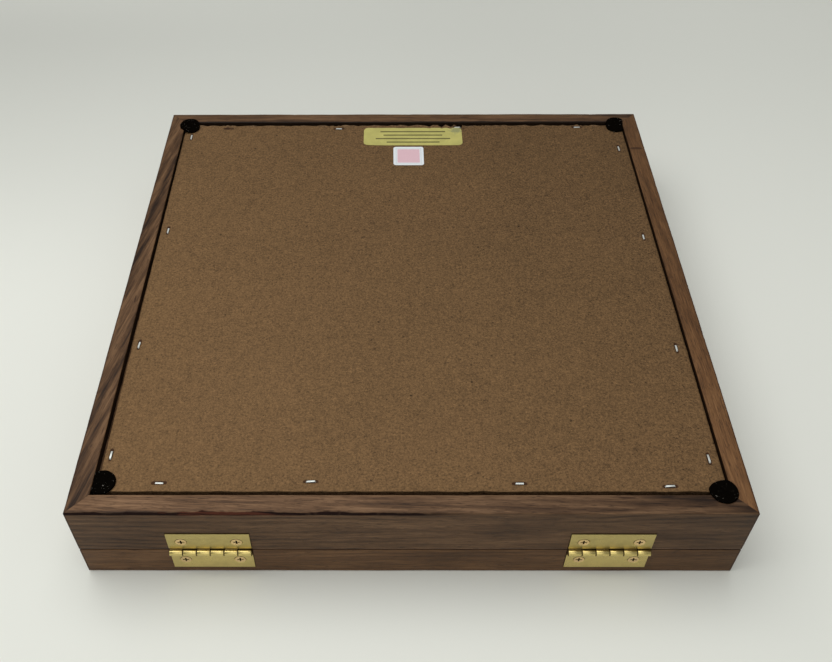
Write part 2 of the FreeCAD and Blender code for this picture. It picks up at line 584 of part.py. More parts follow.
# Rails of the box and the lid.
STOP_INSET = "(Sizes.rail_wall - Sizes.glass_rabbet)"
STAPLED = {"hinge_side": "near", "latch_side": "far", "left": "left", "right": "right"}
CORNERS = {"hinge_side": ("ln", "rn"), "latch_side": ("lf", "rf"), "left": ("ln", "lf"), "right": ("rn", "rf")}
stop_brads = []
for side in SIDES:
    rail = mitred_strip(f"box_{side}", side, "0", "Sizes.rail_wall", BOX_FLOOR, "Sizes.box_height")
    rabbet(rail, side, "Sizes.back_lip", RIM, "Sizes.panel_recess + Sizes.panel_thickness")
    tools = [*staple_cuts[STAPLED[side]]]
    tools += [hole for corner in CORNERS[side] for hole in nail_cuts["box", corner]]
    if side == "hinge_side":
        tools += [*hinge_cuts, *screw_cuts["box"]]
    if side == "latch_side":
        tools += clasp_holes["catch"]
    node(f"box_rail_{side}", cut(f"box_rail_{side}", rail, tools))

    rail = mitred_strip(f"lid_{side}", side, "0", "Sizes.rail_wall", "0", "Sizes.lid_height")
    rabbet(rail, side, STOP_INSET, "Sizes.lid_height", "Sizes.lid_height - Sizes.lid_lip")
    bevel_bottom_edge(rail, "_sight_bevel", sheet.rail_wall, "Sizes.sight_bevel")
    bevel_bottom_edge(rail, "_front_ease", 0, "Sizes.front_ease")
    tools = [hole for corner in CORNERS[side] for hole in nail_cuts["lid", corner]]
    if side == "hinge_side":
        tools += [*hinge_cuts, *screw_cuts["lid"]]
    if side == "latch_side":
        tools += clasp_holes["base"]
    turn, half_run, reach = SIDES[side]
    rotation = FreeCAD.Rotation(VECTOR(0, 0, 1), turn).multiply(TOWARDS_NEAR)
    height = f"{GLASS_FACE} + Sizes.stop_height / 2"
    inner = f"({reach} - Sizes.rail_wall)"
    brad_holes = []
    for number, share in enumerate((-0.6, 0.0, 0.6), start=1):
        along = f"({half_run} * {share})"
        spot = {
            "hinge_side": (along, f"-{inner}"),
            "right": (inner, along),
            "latch_side": (f"-{along}", inner),
            "left": (f"-{inner}", f"-{along}"),
        }[side]
        name = f"brad_{side}_{number}"
        stop_brads.append(rod(name, "Sizes.brad_radius", "Sizes.brad_length", (*spot, height), rotation))
        brad_holes.append(rod(name + "_hole", "Sizes.brad_radius + Sizes.nail_clearance",
                              "Sizes.brad_length + Sizes.nail_clearance", (*spot, height), rotation))
    node(f"lid_rail_{side}", cut(f"lid_rail_{side}", rail, [*tools, *brad_holes]))
    stop = mitred_strip(f"stop_{side}", side, STOP_INSET, "Sizes.glass_rabbet", GLASS_FACE, "Sizes.stop_height")
    node(f"glass_stop_{side}", cut(f"glass_stop_{side}", stop, brad_holes))

node("box_corner_nails", grouped("box_corner_nails", nails["box"]))
node("lid_corner_nails", grouped("lid_corner_nails", nails["lid"]))
node("glass_stop_brads", grouped("glass_stop_brads", stop_brads))


def inner_slab(name, inset, thickness, floor):
    """A slab as large as the case in plan, less an inset on every side."""
    return block(name, (f"Sizes.case_width - 2 * {inset}", f"Sizes.case_depth - 2 * {inset}", thickness),
                 (f"-{HALF_WIDTH} + {inset}", f"-{HALF_DEPTH} + {inset}", floor))


# Glass, hardboard back and its staples.
glass_inset = f"({STOP_INSET} + Sizes.glass_gap)"
node("glass_pane", inner_slab("glass_pane", glass_inset, "Sizes.glass_thickness", "Sizes.lid_lip"))
hardboard = block("hardboard", (
    "Sizes.case_width - 2 * Sizes.back_lip - Sizes.panel_gap_left - Sizes.panel_gap_right",
    "Sizes.case_depth - 2 * Sizes.back_lip - Sizes.panel_gap_near - Sizes.panel_gap_far",
    "Sizes.panel_thickness"), (
    f"-{HALF_WIDTH} + Sizes.back_lip + Sizes.panel_gap_left",
    f"-{HALF_DEPTH} + Sizes.back_lip + Sizes.panel_gap_near", LEDGE))
node("back_panel", cut("back_panel", hardboard, [hole for holes in staple_cuts.values() for hole in holes]))
node("back_panel_staples", grouped("back_panel_staples", staples))

# Display pad: foam board in a cloth cover that is open towards the hardboard.
pad_inset = "(Sizes.rail_wall + Sizes.display_pad_gap)"
foam_inset = f"({pad_inset} + Sizes.cover_thickness)"
foam_floor = f"({LEDGE} - Sizes.foam_thickness)"
node("display_pad_foam", inner_slab("display_pad_foam", foam_inset, "Sizes.foam_thickness", foam_floor))
cover_block = inner_slab("cover_block", pad_inset, "Sizes.foam_thickness + Sizes.cover_thickness",
                         f"{foam_floor} - Sizes.cover_thickness")
cover_hollow = inner_slab("cover_hollow", foam_inset, "Sizes.foam_thickness", foam_floor)
node("display_pad_cover", cut("display_pad_cover", cover_block, [cover_hollow]))

# Labels, flat on the hardboard.
for name, prefix, side_x, side_y in (
        ("gold_label", "Sizes.gold", "Sizes.gold_length", "Sizes.gold_width"),
        ("white_sticker", "Sizes.sticker", "Sizes.sticker_side", "Sizes.sticker_side")):
    middle_x, middle_y = f"{prefix}_x", f"{HALF_DEPTH} - {prefix}_inset"
    node(name, rounded_plate(name, (f"{middle_x} - {side_x} / 2", f"{middle_y} - {side_y} / 2"),
                             (f"{middle_x} + {side_x} / 2", f"{middle_y} + {side_y} / 2"),
                             "Sizes.label_thickness", f"{prefix}_corner", PANEL_FACE))

# Felt feet. One is pressed into the recess; the others lie over the rim and sag down to the hardboard.
# Each foot: its side along X and along Y, how far it is shifted off the corner's diagonal, and if it lies on
# the rim.
FEET = {
    "near_left": ("-", "-", 1.9, False),
    "near_right": ("", "-", -1.0, True),
    "far_left": ("-", "", 0.0, True),
    "far_right": ("", "", -1.1, True),
}
wall_inset = "(Sizes.back_lip + Sizes.felt_clearance)"
recess = inner_slab("recess", wall_inset, "Sizes.panel_recess", PANEL_FACE)
for corner, (sign_x, sign_y, shift, over_rim) in FEET.items():
    name = f"felt_foot_{corner}"
    reach = f"(Sizes.back_lip + Sizes.foot_reach_{corner})"
    x = f"{sign_x}({HALF_WIDTH} - {reach} + {shift})"
    y = f"{sign_y}({HALF_DEPTH} - {reach} - {shift})"
    depth = "Sizes.panel_recess" if over_rim else "Sizes.felt_thickness"
    low = rod(name + "_low", "Sizes.felt_radius", depth, (x, y, PANEL_FACE))
    foot = doc.addObject("Part::Common", name + "_inside")
    foot.Base = low
    foot.Tool = recess
    if over_rim:
        top = rod(name + "_top", "Sizes.felt_radius", "Sizes.felt_thickness", (x, y, RIM))
        foot = joined(name, [foot, top])
    node(name, foot)

doc.recompute()
for piece in doc.Objects:
    if {"Invalid", "Error"} & set(piece.State):
        raise RuntimeError(f"{piece.Name} failed: {piece.State}")
os.makedirs("parts", exist_ok=True)
for piece in nodes:
    shape = piece.Shape
    if shape.isNull() or not shape.isValid() or not shape.Solids:
        raise RuntimeError(f"{piece.Label} is not a valid solid")
    shape.exportStep(f"parts/{piece.Label}.step")
    print(f"{piece.Label}: {len(shape.Solids)} solid(s), {shape.Volume:.0f} mm3")
print(len(nodes), "sub-parts")
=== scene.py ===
import bpy
import numpy as np
import math
from bpy.props import FloatProperty, FloatVectorProperty, IntProperty, PointerProperty
from mathutils import Matrix, Vector


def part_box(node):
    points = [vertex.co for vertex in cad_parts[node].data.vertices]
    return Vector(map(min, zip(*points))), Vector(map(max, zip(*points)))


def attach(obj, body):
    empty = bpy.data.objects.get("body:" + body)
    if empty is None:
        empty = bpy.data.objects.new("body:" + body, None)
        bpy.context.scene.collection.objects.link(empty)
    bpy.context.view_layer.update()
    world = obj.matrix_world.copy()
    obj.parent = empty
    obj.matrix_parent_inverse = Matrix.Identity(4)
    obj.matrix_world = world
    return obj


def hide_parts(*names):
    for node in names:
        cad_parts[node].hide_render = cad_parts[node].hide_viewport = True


bl_info = {
    "name": "Hinged display case",
    "version": (1, 0, 0),
    "blender": (4, 5, 0),
    "location": "View3D > Sidebar > Display case",
    "description": "Builds a hinged display case's wood, glass, hardboard, brass and felt round its frame",
    "category": "Add Mesh",
}

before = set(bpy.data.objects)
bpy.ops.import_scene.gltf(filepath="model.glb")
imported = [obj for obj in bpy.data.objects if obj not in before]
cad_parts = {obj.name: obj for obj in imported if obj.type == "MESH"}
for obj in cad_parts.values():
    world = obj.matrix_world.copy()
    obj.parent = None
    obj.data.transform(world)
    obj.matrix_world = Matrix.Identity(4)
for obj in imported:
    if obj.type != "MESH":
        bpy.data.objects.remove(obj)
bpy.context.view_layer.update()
MM = 0.001


def linear(red, green, blue):
    """A colour given as 0 to 255 display values, as linear light."""
    shares = np.array((red, green, blue)) / 255
    bright = ((shares + 0.055) / 1.055) ** 2.4
    return tuple(float(share) for share in np.where(shares > 0.04045, bright, shares / 12.92))


# Colours of dirt, wear, painted light and shade, and small parts
# Painted shade: the dark outer top edge and the dark corner arrises of the rails.
PAINTED_EDGE_SHADE = linear(50, 24, 12)
PAINTED_CORNER_SHADE = linear(44, 22, 12)
KNOCK_MARK = linear(48, 28, 16)
SPLINTER_RED = linear(96, 52, 36)
# Painted shade in the seam where the lid meets the box.
PAINTED_SEAM_SHADE = linear(34, 20, 12)
# Painted reflection of the floor, lighter and redder, on the lid's lowest edge.
PAINTED_FLOOR_BOUNCE = linear(124, 72, 48)
# Painted shade on the rim's inner wall round the hardboard.
PAINTED_RECESS_SHADE = linear(16, 8, 4)
# Crushed board round the staples, darkened partly as painted shade of their dimples.
BRUISE_AND_SHADE_BROWN = linear(48, 25, 12)
TORN_FIBRE = linear(44, 28, 18)
PALE_FIBRE = linear(136, 108, 78)
# Painted shade in the brass fittings' hollows and round the hinge barrels.
PAINTED_BRASS_SHADE = linear(58, 26, 14)
LINT = linear(196, 190, 178)
GLASS_TINT = linear(243, 250, 246)
RULED_LINE = linear(70, 64, 36)
SCUFFED_FOIL = linear(118, 120, 86)
STICKER_FRAME = linear(92, 92, 108)
STICKER_BLOCK = linear(214, 160, 170)
FOAM_CREAM = linear(226, 222, 206)
FILLER_BROWN = linear(92, 62, 42)
STAPLE_STEEL = linear(214, 218, 212)
STAPLE_RUST = linear(150, 132, 110)
NAIL_STEEL = linear(176, 174, 168)
NAIL_RUST = linear(112, 104, 94)
BRASS_TARNISH = linear(176, 158, 102)
SCREW_BRASS = linear(238, 206, 150)
CLASP_TARNISH = linear(150, 132, 78)
CLASP_SCREW = linear(206, 184, 118)
CLASP_SCREW_TARNISH = linear(140, 118, 66)


# ---------------------------------------------------------------------------------------------------------
# Sizes and colours that a user may change


def length(name, default, description):
    """A size that a user may change."""
    return FloatProperty(name=name, default=default, unit="LENGTH", description=description)


def hue(name, display, description):
    """A colour that a user may change, its default given as 0 to 255 display values."""
    return FloatVectorProperty(name=name, subtype="COLOR", size=3, default=linear(*display),
                               description=description)


class CaseSizes(bpy.types.PropertyGroup):
    top_arris: length("Top arris", 0.7 * MM, "Rounding of the rails' outer top edge")
    seam_arris: length("Seam arris", 0.45 * MM, "Rounding of the edges where the lid meets the box")
    inner_arris: length("Inner arris", 0.35 * MM, "Rounding of the rim's edge round the hardboard")
    chip_depth: length("Chip depth", 0.9 * MM, "How much of the near rail's arris is torn away")
    mitre_gap: length("Mitre gap", 0.05 * MM, "Open joint at each rail's end")
    ragged: length("Ragged edge", 0.35 * MM, "How far the hardboard's sawn edge wanders")
    panel_taper: length("Panel taper", 0.75 * MM, "How far the hardboard's left edge is out of square")
    burr_height: length("Burr height", 0.8 * MM, "How high torn fibres stand along the hardboard's far edge")
    near_gap: length("Near gap", 2.6 * MM, "How much shorter the hardboard is sawn along its near edge")
    pad_crown: length("Pad crown", 1.6 * MM, "How far the display pad's cloth stands proud in its middle")
    metal_edge: length("Metal edge", 0.12 * MM, "Rounding of the stamped brass edges")
    grain_seed: IntProperty(name="Grain seed", default=7, description="Chooses the pieces' chips and waves")


class CaseColours(bpy.types.PropertyGroup):
    walnut: hue("Walnut", (97, 71, 49), "Middle colour of the stained wood")
    walnut_dark: hue("Walnut, dark", (46, 31, 21), "Pores and dark growth rings")
    walnut_light: hue("Walnut, light", (134, 103, 75), "Light growth rings and rubbed edges")
    torn_wood: hue("Torn wood", (26, 10, 6), "Broken arris")
    hardboard: hue("Hardboard", (109, 83, 54), "Pressed fibre back")
    brass: hue("Brass", (214, 194, 124), "Hinges, screws and clasp")
    felt: hue("Felt", (8, 6, 4), "Feet")
    gold: hue("Gold foil", (198, 190, 112), "Long label")
    paper: hue("Paper", (226, 231, 233), "Square sticker")
    lining: hue("Lining", (30, 33, 46), "Cloth of the display pad")
    floor: hue("Floor", (232, 233, 224), "Ground and backdrop")


def sizes():
    return bpy.context.scene.case_sizes


def colours():
    return bpy.context.scene.case_colours


# ---------------------------------------------------------------------------------------------------------
# Places, read from the frame


def corners_of(node):
    """Lowest and highest corner of a node, as arrays."""
    low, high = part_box(node)
    return np.array(low), np.array(high)


def solids_of(node):
    """Lowest and highest corner of each separate solid in a node: corners that lie together are one point,
    and every point takes the lowest number that any triangle joins it to, until nothing changes."""
    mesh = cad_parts[node].data
    mesh.calc_loop_triangles()
    points = np.empty(len(mesh.vertices) * 3)
    mesh.vertices.foreach_get("co", points)
    points = points.reshape(-1, 3)
    triangles = np.empty(len(mesh.loop_triangles) * 3, int)
    mesh.loop_triangles.foreach_get("vertices", triangles)
    unique, index = np.unique(np.round(points / (0.001 * MM)).astype(int), axis=0, return_inverse=True)
    triangles = index.reshape(-1)[triangles].reshape(-1, 3)
    label = np.arange(len(unique))
    while True:
        lowest = label[triangles].min(axis=1)
        new = label.copy()
        np.minimum.at(new, triangles.ravel(), np.repeat(lowest, 3))
        if (new == label).all():
            break
        label = new
    point_label = label[index.reshape(-1)]
    return [(points[point_label == k].min(axis=0), points[point_label == k].max(axis=0))
            for k in np.unique(point_label)]


PANEL_LOW, PANEL_HIGH = corners_of("back_panel")
RAIL_LOW, RAIL_HIGH = corners_of("box_rail_hinge_side")
LEFT_HIGH = corners_of("box_rail_left")[1]
LID_HIGH = corners_of("lid_rail_hinge_side")[1]
STOP_LOW, STOP_HIGH = corners_of("glass_stop_hinge_side")
FOOT_LOW = corners_of("felt_foot_near_left")[0]

HALF_WIDTH = RAIL_HIGH[0]
HALF_DEPTH = LEFT_HIGH[1]
WALL = RAIL_HIGH[1] - RAIL_LOW[1]
RIM = RAIL_HIGH[2]
LEDGE = PANEL_LOW[2]
PANEL_FACE = PANEL_HIGH[2]
FELT_CLEARANCE = 0.1 * MM
LIP = HALF_WIDTH + FOOT_LOW[0] - FELT_CLEARANCE
LID_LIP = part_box("glass_pane")[0].z
STOP_INSET = HALF_DEPTH + STOP_LOW[1]
SEAM = (RAIL_LOW[2] + LID_HIGH[2]) / 2

# A rail is made as the one on the -Y side and turned to its own side: quarter turns, half its run along the
# side, and the distance of its outer face from the middle.
SIDES = {
    "hinge_side": (0, HALF_WIDTH, HALF_DEPTH),
    "right": (1, HALF_DEPTH, HALF_WIDTH),
    "latch_side": (2, HALF_WIDTH, HALF_DEPTH),
    "left": (3, HALF_DEPTH, HALF_WIDTH),
}


# ---------------------------------------------------------------------------------------------------------
# Meshes


def waves(rng, shortest, longest, count, *coordinates):
    """Smooth noise from -1 to 1: a sum of sine waves with random directions, phases and lengths, where a
    longer wave is taller."""
    total = np.zeros(np.broadcast(*coordinates).shape)
    height = 0.0
    for length in np.geomspace(shortest, longest, count):
        direction = rng.normal(size=len(coordinates))
        direction /= np.linalg.norm(direction)
        phase = rng.uniform(0, 2 * math.pi)
        reach = sum(part * values for part, values in zip(direction, coordinates))
        weight = (length / longest) ** 0.5
        total = total + weight * np.sin(2 * math.pi * reach / length + phase)
        height += weight
    return total * 1.7 / height


def smooth(low, high, value):
    """0 below low, 1 above high, and an S-curve between."""
    share = np.clip((value - low) / (high - low), 0, 1)
    return share * share * (3 - 2 * share)


def grid_faces(rows, columns, closed):
    """Quads of a grid of points; a closed one joins its last column to its first."""
    row = np.arange(rows - 1)[:, None]
    column = np.arange(columns if closed else columns - 1)[None, :]
    after = (column + 1) % columns
    corners = (row * columns + column, (row + 1) * columns + column,
               (row + 1) * columns + after, row * columns + after)
    return np.stack(np.broadcast_arrays(*corners), axis=-1).reshape(-1, 4)


def grid_edge(rows, columns):
    """Numbers of a grid's border points, once round."""
    numbers = np.arange(rows * columns).reshape(rows, columns)
    return np.concatenate([numbers[0, :-1], numbers[:-1, -1], numbers[-1, :0:-1], numbers[:0:-1, 0]])


def volume(points, groups):
    """Signed volume of a closed mesh: the sum over every face's fan of triangles."""
    total = 0.0
    for faces in groups:
        for k in range(1, faces.shape[1] - 1):
            a, b, c = points[faces[:, 0]], points[faces[:, k]], points[faces[:, k + 1]]
            total += np.einsum("ij,ij->", a, np.cross(b, c))
    return total / 6


def joined(shells):
    """Points and faces of several closed shells as one mesh: each shell's faces point outwards, and faces
    with the same number of corners stand together."""
    points, groups, start = [], {}, 0
    for shell, faces in shells:
        turn = -1 if volume(shell, faces) < 0 else 1
        for group in faces:
            groups.setdefault(group.shape[1], []).append(group[:, ::turn] + start)
        points.append(shell)
        start += len(shell)
    return np.concatenate(points), [np.concatenate(same) for same in groups.values()]


def mesh_piece(name, points, groups, body, material, slot, sharp=38, **attributes):
    """Puts points and faces into a mesh whose faces point outwards, with values of its points kept as
    attributes for the material, and lets it ride on a body."""
    if volume(points, groups) < 0:
        groups = [faces[:, ::-1] for faces in groups]
    mesh = bpy.data.meshes.new(name)
    mesh.vertices.add(len(points))
    mesh.vertices.foreach_set("co", points.astype(np.float32).ravel())
    counts = np.concatenate([np.full(len(faces), faces.shape[1]) for faces in groups])
    corners = np.concatenate([faces.ravel() for faces in groups])
    mesh.loops.add(len(corners))
    mesh.loops.foreach_set("vertex_index", corners.astype(np.int32))
    mesh.polygons.add(len(counts))
    mesh.polygons.foreach_set("loop_start", (np.cumsum(counts) - counts).astype(np.int32))
    mesh.update(calc_edges=True)
    mesh.polygons.foreach_set("use_smooth", np.ones(len(counts), bool))
    mesh.set_sharp_from_angle(angle=math.radians(sharp))
    for attribute, values in attributes.items():
        layer = mesh.attributes.new(attribute, "FLOAT", "POINT")
        layer.data.foreach_set("value", np.asarray(values, np.float32).ravel())
    mesh.materials.append(material)
    piece = bpy.data.objects.new(name, mesh)
    bpy.context.scene.collection.objects.link(piece)
    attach(piece, body)
    return piece


def carried(stations):
    """Points and faces of a closed outline carried along a path: stations holds one outline after another,
    and the first and the last are filled in."""
    rows, columns = stations.shape[:2]
    first = np.arange(columns)[None, :]
    last = (rows - 1) * columns + np.arange(columns)[None, ::-1]
    return stations.reshape(-1, 3), [grid_faces(rows, columns, closed=True), first, last]


def slab(top, bottom):
    """Points and faces of a closed slab from the grid of its top and the grid of its underside."""
    rows, columns = top.shape[:2]
    edge = grid_edge(rows, columns)
    top_faces = grid_faces(rows, columns, closed=False)
    under = top_faces[:, ::-1] + rows * columns
    after = np.roll(edge, -1)
    wall = np.stack([edge, after, after + rows * columns, edge + rows * columns], axis=-1)
    return np.concatenate([top.reshape(-1, 3), bottom.reshape(-1, 3)]), [top_faces, under, wall]


def capped_rings(rings):
    """Points and faces of a closed form from rings of points, with a pole inside the first and the last."""
    rows, columns = rings.shape[:2]
    points = np.concatenate([rings.reshape(-1, 3), rings[0].mean(axis=0)[None], rings[-1].mean(axis=0)[None]])
    ring = np.arange(columns)
    after = (ring + 1) % columns
    first = np.stack([np.full(columns, rows * columns), ring, after], axis=-1)
    start = (rows - 1) * columns
    last = np.stack([np.full(columns, rows * columns + 1), start + after, start + ring], axis=-1)
    return points, [grid_faces(rows, columns, closed=True), first, last]


def rounded_outline(corners, stations):
    """Rounds a closed outline at every station. Each corner is (across, height, radius, arc steps, steps of
    the straight run after it), where a radius may differ from station to station. An arc is a circle's:
    the weighted quadratic curve between its two points of contact. Returns the outline's points, and for
    each point how near it is to the middle of an arc."""
    points = [np.array(corner[:2]) for corner in corners]
    arcs, middles = [], []
    for k, (_, _, radius, arc_steps, _) in enumerate(corners):
        before, here, after = points[k - 1], points[k], points[(k + 1) % len(points)]
        back = (before - here) / np.linalg.norm(before - here)
        ahead = (after - here) / np.linalg.norm(after - here)
        turn = math.pi - math.acos(np.clip(back @ ahead, -1, 1))
        reach = (np.broadcast_to(radius, stations) * math.tan(turn / 2))[:, None, None]
        share = np.linspace(0, 1, arc_steps + 1)[None, :, None]
        weight = 2 * math.cos(turn / 2) * share * (1 - share)
        start, end = here + reach * back, here + reach * ahead
        first, last = (1 - share) ** 2, share ** 2
        arcs.append((first * start + weight * here + last * end) / (first + weight + last))
        middles.append(np.sin(share[0, :, 0] * math.pi) if arc_steps else np.zeros(1))
    outline, arris = [], []
    for k, (_, _, _, _, run_steps) in enumerate(corners):
        outline.append(arcs[k])
        arris.append(middles[k])
        start, end = arcs[k][:, -1:], arcs[(k + 1) % len(arcs)][:, :1]
        share = np.linspace(0, 1, run_steps + 1)[1:-1][None, :, None]
        outline.append(start + share * (end - start))
        arris.append(np.zeros(share.shape[1]))
    return np.concatenate(outline, axis=1), np.concatenate(arris)


def turned_to_side(side, along, across, height):
    """Places points given along a side, across it from its outer face, and in height."""
    quarter, _, reach = SIDES[side]
    x, y = along, across - reach
    cosine, sine = ((1, 0), (0, 1), (-1, 0), (0, -1))[quarter]
    return np.stack(np.broadcast_arrays(x * cosine - y * sine, x * sine + y * cosine, height), axis=-1)


def hinge_rooms(body):
    """Where the hinge leaves are let into a body's rail: for each hinge its two ends along X, and the far
    edge of the leaf in height, with the mortise's small margin."""
    margin = 0.2 * MM
    far_margin = 0.5 * MM
    rooms = []
    for side in ("left", "right"):
        low, high = corners_of(f"hinge_{side}_{body}_leaf")
        edge = high[2] + far_margin if body == "box" else low[2] - far_margin
        rooms.append((low[0] - margin, high[0] + margin, edge))
    return rooms


def let_in(along, outline, body):
    """Sinks the outer face where a leaf lies, and a little deeper behind the knuckles, where the wood is
    hollowed round the pin: the hollow is the circle round the pin's line that clears the barrel."""
    leaf_low, leaf_high = corners_of(f"hinge_left_{body}_leaf")
    pin_low, pin_high = corners_of("hinge_left_pin")
    pin = (pin_low + pin_high) / 2
    pin_across, pin_height = pin[1] + HALF_DEPTH, pin[2]
    depth = leaf_high[1] + HALF_DEPTH
    clear = pin[1] - leaf_low[1] + 0.35 * MM
    across, height = outline[..., 0], outline[..., 1]
    hollow = pin_across + np.sqrt(np.maximum(clear ** 2 - (height - pin_height) ** 2, 0))
    sunk = np.maximum(depth, hollow)
    for start, end, edge in hinge_rooms(body):
        inside = (along > start) & (along < end)
        inside &= (height < edge) if body == "box" else (height > edge)
        across = np.where(inside & (across < sunk), sunk, across)
    return np.stack([across, height], axis=-1)


def doubled(values):
    """Each value twice, a hair apart, so that a step between the two stands upright."""
    hair = 0.01 * MM
    return [value + shift for value in values for shift in (-hair, hair)]


# How the stations of a rail's end spread to its mitre; the last two are a hair apart.
END_SHARES = np.append(np.linspace(0, 0.985, 12)[1:], 1.0)


def rail_layout(side, spacing, body=None):
    """How a rail is cut along its run: the stations of its straight part, with a pair of them a hair apart
    where a mortise begins and ends; evenly spread places, one for each station of the whole rail; and the
    outline's extra points at the mortises' far edge."""
    half_run = SIDES[side][1]
    rooms = hinge_rooms(body) if body and side == "hinge_side" else []
    inner = half_run - WALL - 1 * MM
    even = np.linspace(-inner, inner, int(2 * inner / spacing))
    stations = np.unique(np.concatenate([even, doubled([edge for room in rooms for edge in room[:2]])]))
    spread = np.linspace(-half_run, half_run, len(stations) + 2 * len(END_SHARES))
    return stations, spread, [(0, level, 0, 0, 4) for level in doubled([room[2] for room in rooms[:1]])]


def rail_points(side, stations, outline, body=None):
    """Carries an outline along a side. Near the ends the stations spread from the last straight cut to the
    mitre, whose cut moves in with the depth across the rail. A hinge side is then carried once more, with
    the hinge leaves of its body let into its outline."""
    half_run = SIDES[side][1]
    inner, share = stations[-1], END_SHARES
    across = outline[..., 0]
    mitre = half_run - across - sizes().mitre_gap
    right = inner + share[:, None] * (mitre[-len(share):] - inner)
    left = -(inner + share[::-1, None] * (mitre[:len(share)] - inner))
    middle = np.broadcast_to(stations[:, None], (len(stations), across.shape[1]))
    along = np.concatenate([left, middle, right])
    if body and side == "hinge_side":
        return rail_points(side, stations, let_in(along, outline, body))
    return turned_to_side(side, along, across, outline[..., 1]), along


def rubbed_arrises(rng, bends, along):
    """How worn a rail's points are: most in the middle of an arris, and unevenly along it."""
    return bends * (0.7 + 0.3 * waves(rng, 4 * MM, 60 * MM, 8, along))


# ---------------------------------------------------------------------------------------------------------
# Materials


class Value:
    """A socket of a material; Python's operators add the Math nodes."""

    def __init__(self, nodes, socket):
        self.nodes = nodes
        self.socket = socket

    def math(self, operation, *others, clamp=False):
        inputs = dict(enumerate(others))
        return self.nodes.add("ShaderNodeMath", inputs, operation=operation, use_clamp=clamp)

    def __add__(self, other):
        return self.math("ADD", self, other)

    def __sub__(self, other):
        return self.math("SUBTRACT", self, other)

    def __rsub__(self, other):
        return self.math("SUBTRACT", other, self)

    def __mul__(self, other):
        return self.math("MULTIPLY", self, other)

    def __truediv__(self, other):
        return self.math("DIVIDE", self, other)

    def __pow__(self, other):
        return self.math("POWER", self, other)

    __radd__ = __add__
    __rmul__ = __mul__

    def sine(self):
        return self.math("SINE", self)

    def absolute(self):
        return self.math("ABSOLUTE", self)

    def clamped(self):
        return self.math("ADD", self, 0.0, clamp=True)

    def above(self, low, high):
        """0 below low, 1 above high, and an S-curve between."""
        return self.nodes.add("ShaderNodeMapRange", {0: self, 1: low, 2: high, 3: 0.0, 4: 1.0},
                              interpolation_type="SMOOTHSTEP")

    def within(self, half_width, softness):
        """1 while the value is nearer to 0 than half_width, and 0 outside."""
        return 1 - self.absolute().above(half_width - softness, half_width + softness)


class Nodes:
    """A material, and the one method that adds a node to it."""

    def __init__(self, name):
        self.material = bpy.data.materials.new(name)
        self.material.use_nodes = True
        self.tree = self.material.node_tree
        self.tree.nodes.clear()

    def add(self, kind, inputs=None, output=0, stops=None, **settings):
        """Adds a node: its settings and a ramp's stops come first, then its inputs' values or links."""
        node = self.tree.nodes.new(kind)
        for name, value in settings.items():
            setattr(node, name, value)
        if stops:
            ramp = node.color_ramp
            while len(ramp.elements) < len(stops):
                ramp.elements.new(0.5)
            for element, (place, colour) in zip(ramp.elements, stops):
                element.position = place
                element.color = (*colour, 1)
        for key, value in (inputs or {}).items():
            if isinstance(value, Value):
                self.tree.links.new(value.socket, node.inputs[key])
            else:
                node.inputs[key].default_value = value
        return Value(self, node.outputs[output]) if len(node.outputs) else None

    def place(self, centre=(0, 0, 0), turn=0.0):
        """Object coordinates, centred on a point and turned about Z, as three values."""
        spot = self.add("ShaderNodeTexCoord", output="Object")
        spot = self.add("ShaderNodeVectorMath", {0: spot, 1: centre}, operation="SUBTRACT")
        spot = self.add("ShaderNodeMapping", {"Vector": spot, "Rotation": (0, 0, turn)})
        return [self.add("ShaderNodeSeparateXYZ", {0: spot}, output=k) for k in range(3)]

    def vector(self, x, y, z):
        return self.add("ShaderNodeCombineXYZ", {0: x, 1: y, 2: z})

    def noise(self, vector, scale, detail=2.0, roughness=0.5, distortion=0.0):
        return self.add("ShaderNodeTexNoise", {"Vector": vector, "Scale": scale, "Detail": detail,
                                               "Roughness": roughness, "Distortion": distortion})

    def stretched(self, place, scales, detail, roughness=0.5):
        """Noise of three values, each with a scale of its own."""
        scaled = [value * scale for value, scale in zip(place, scales)]
        return self.noise(self.vector(*scaled), 1.0, detail, roughness)

    def cells(self, vector, scale):
        """Distance to the nearest of many scattered points."""
        return self.add("ShaderNodeTexVoronoi", {"Vector": vector, "Scale": scale})

    def attribute(self, name):
        return self.add("ShaderNodeAttribute", output="Fac", attribute_name=name)

    def mix(self, share, first, second):
        """A colour between two."""
        first, second = (value if isinstance(value, Value) else (*value, 1) for value in (first, second))
        return self.add("ShaderNodeMix", {0: share, 6: first, 7: second}, output=2, data_type="RGBA")

    def ramp(self, share, *stops):
        return self.add("ShaderNodeValToRGB", {0: share}, stops=stops)

    def shaded(self, colour, share):
        """A colour made lighter or darker by a value."""
        colour = colour if isinstance(colour, Value) else tuple(colour)
        return self.add("ShaderNodeVectorMath", {0: colour, "Scale": share}, operation="SCALE")

    def bump(self, height, distance, strength):
        return self.add("ShaderNodeBump", {"Height": height, "Distance": distance, "Strength": strength})

    def finish(self, **inputs):
        """The surface shader. A key is the socket's name with _ for a space."""
        sockets = {key.replace("_", " "): value for key, value in inputs.items()}
        colour = sockets.get("Base Color")
        if colour is not None and not isinstance(colour, Value):
            sockets["Base Color"] = (*colour, 1)
        shader = self.add("ShaderNodeBsdfPrincipled", sockets)
        self.add("ShaderNodeOutputMaterial", {"Surface": shader})
        return self.material


def started(name, centre=(0, 0, 0)):
    """A new material with its Object coordinates, as three values and as one vector."""
    nodes = Nodes(name)
    x, y, z = nodes.place(centre=tuple(centre))
    return nodes, x, y, z, nodes.vector(x, y, z)


# Distance from one growth ring to the next
RING_PITCH = 3.8 * MM

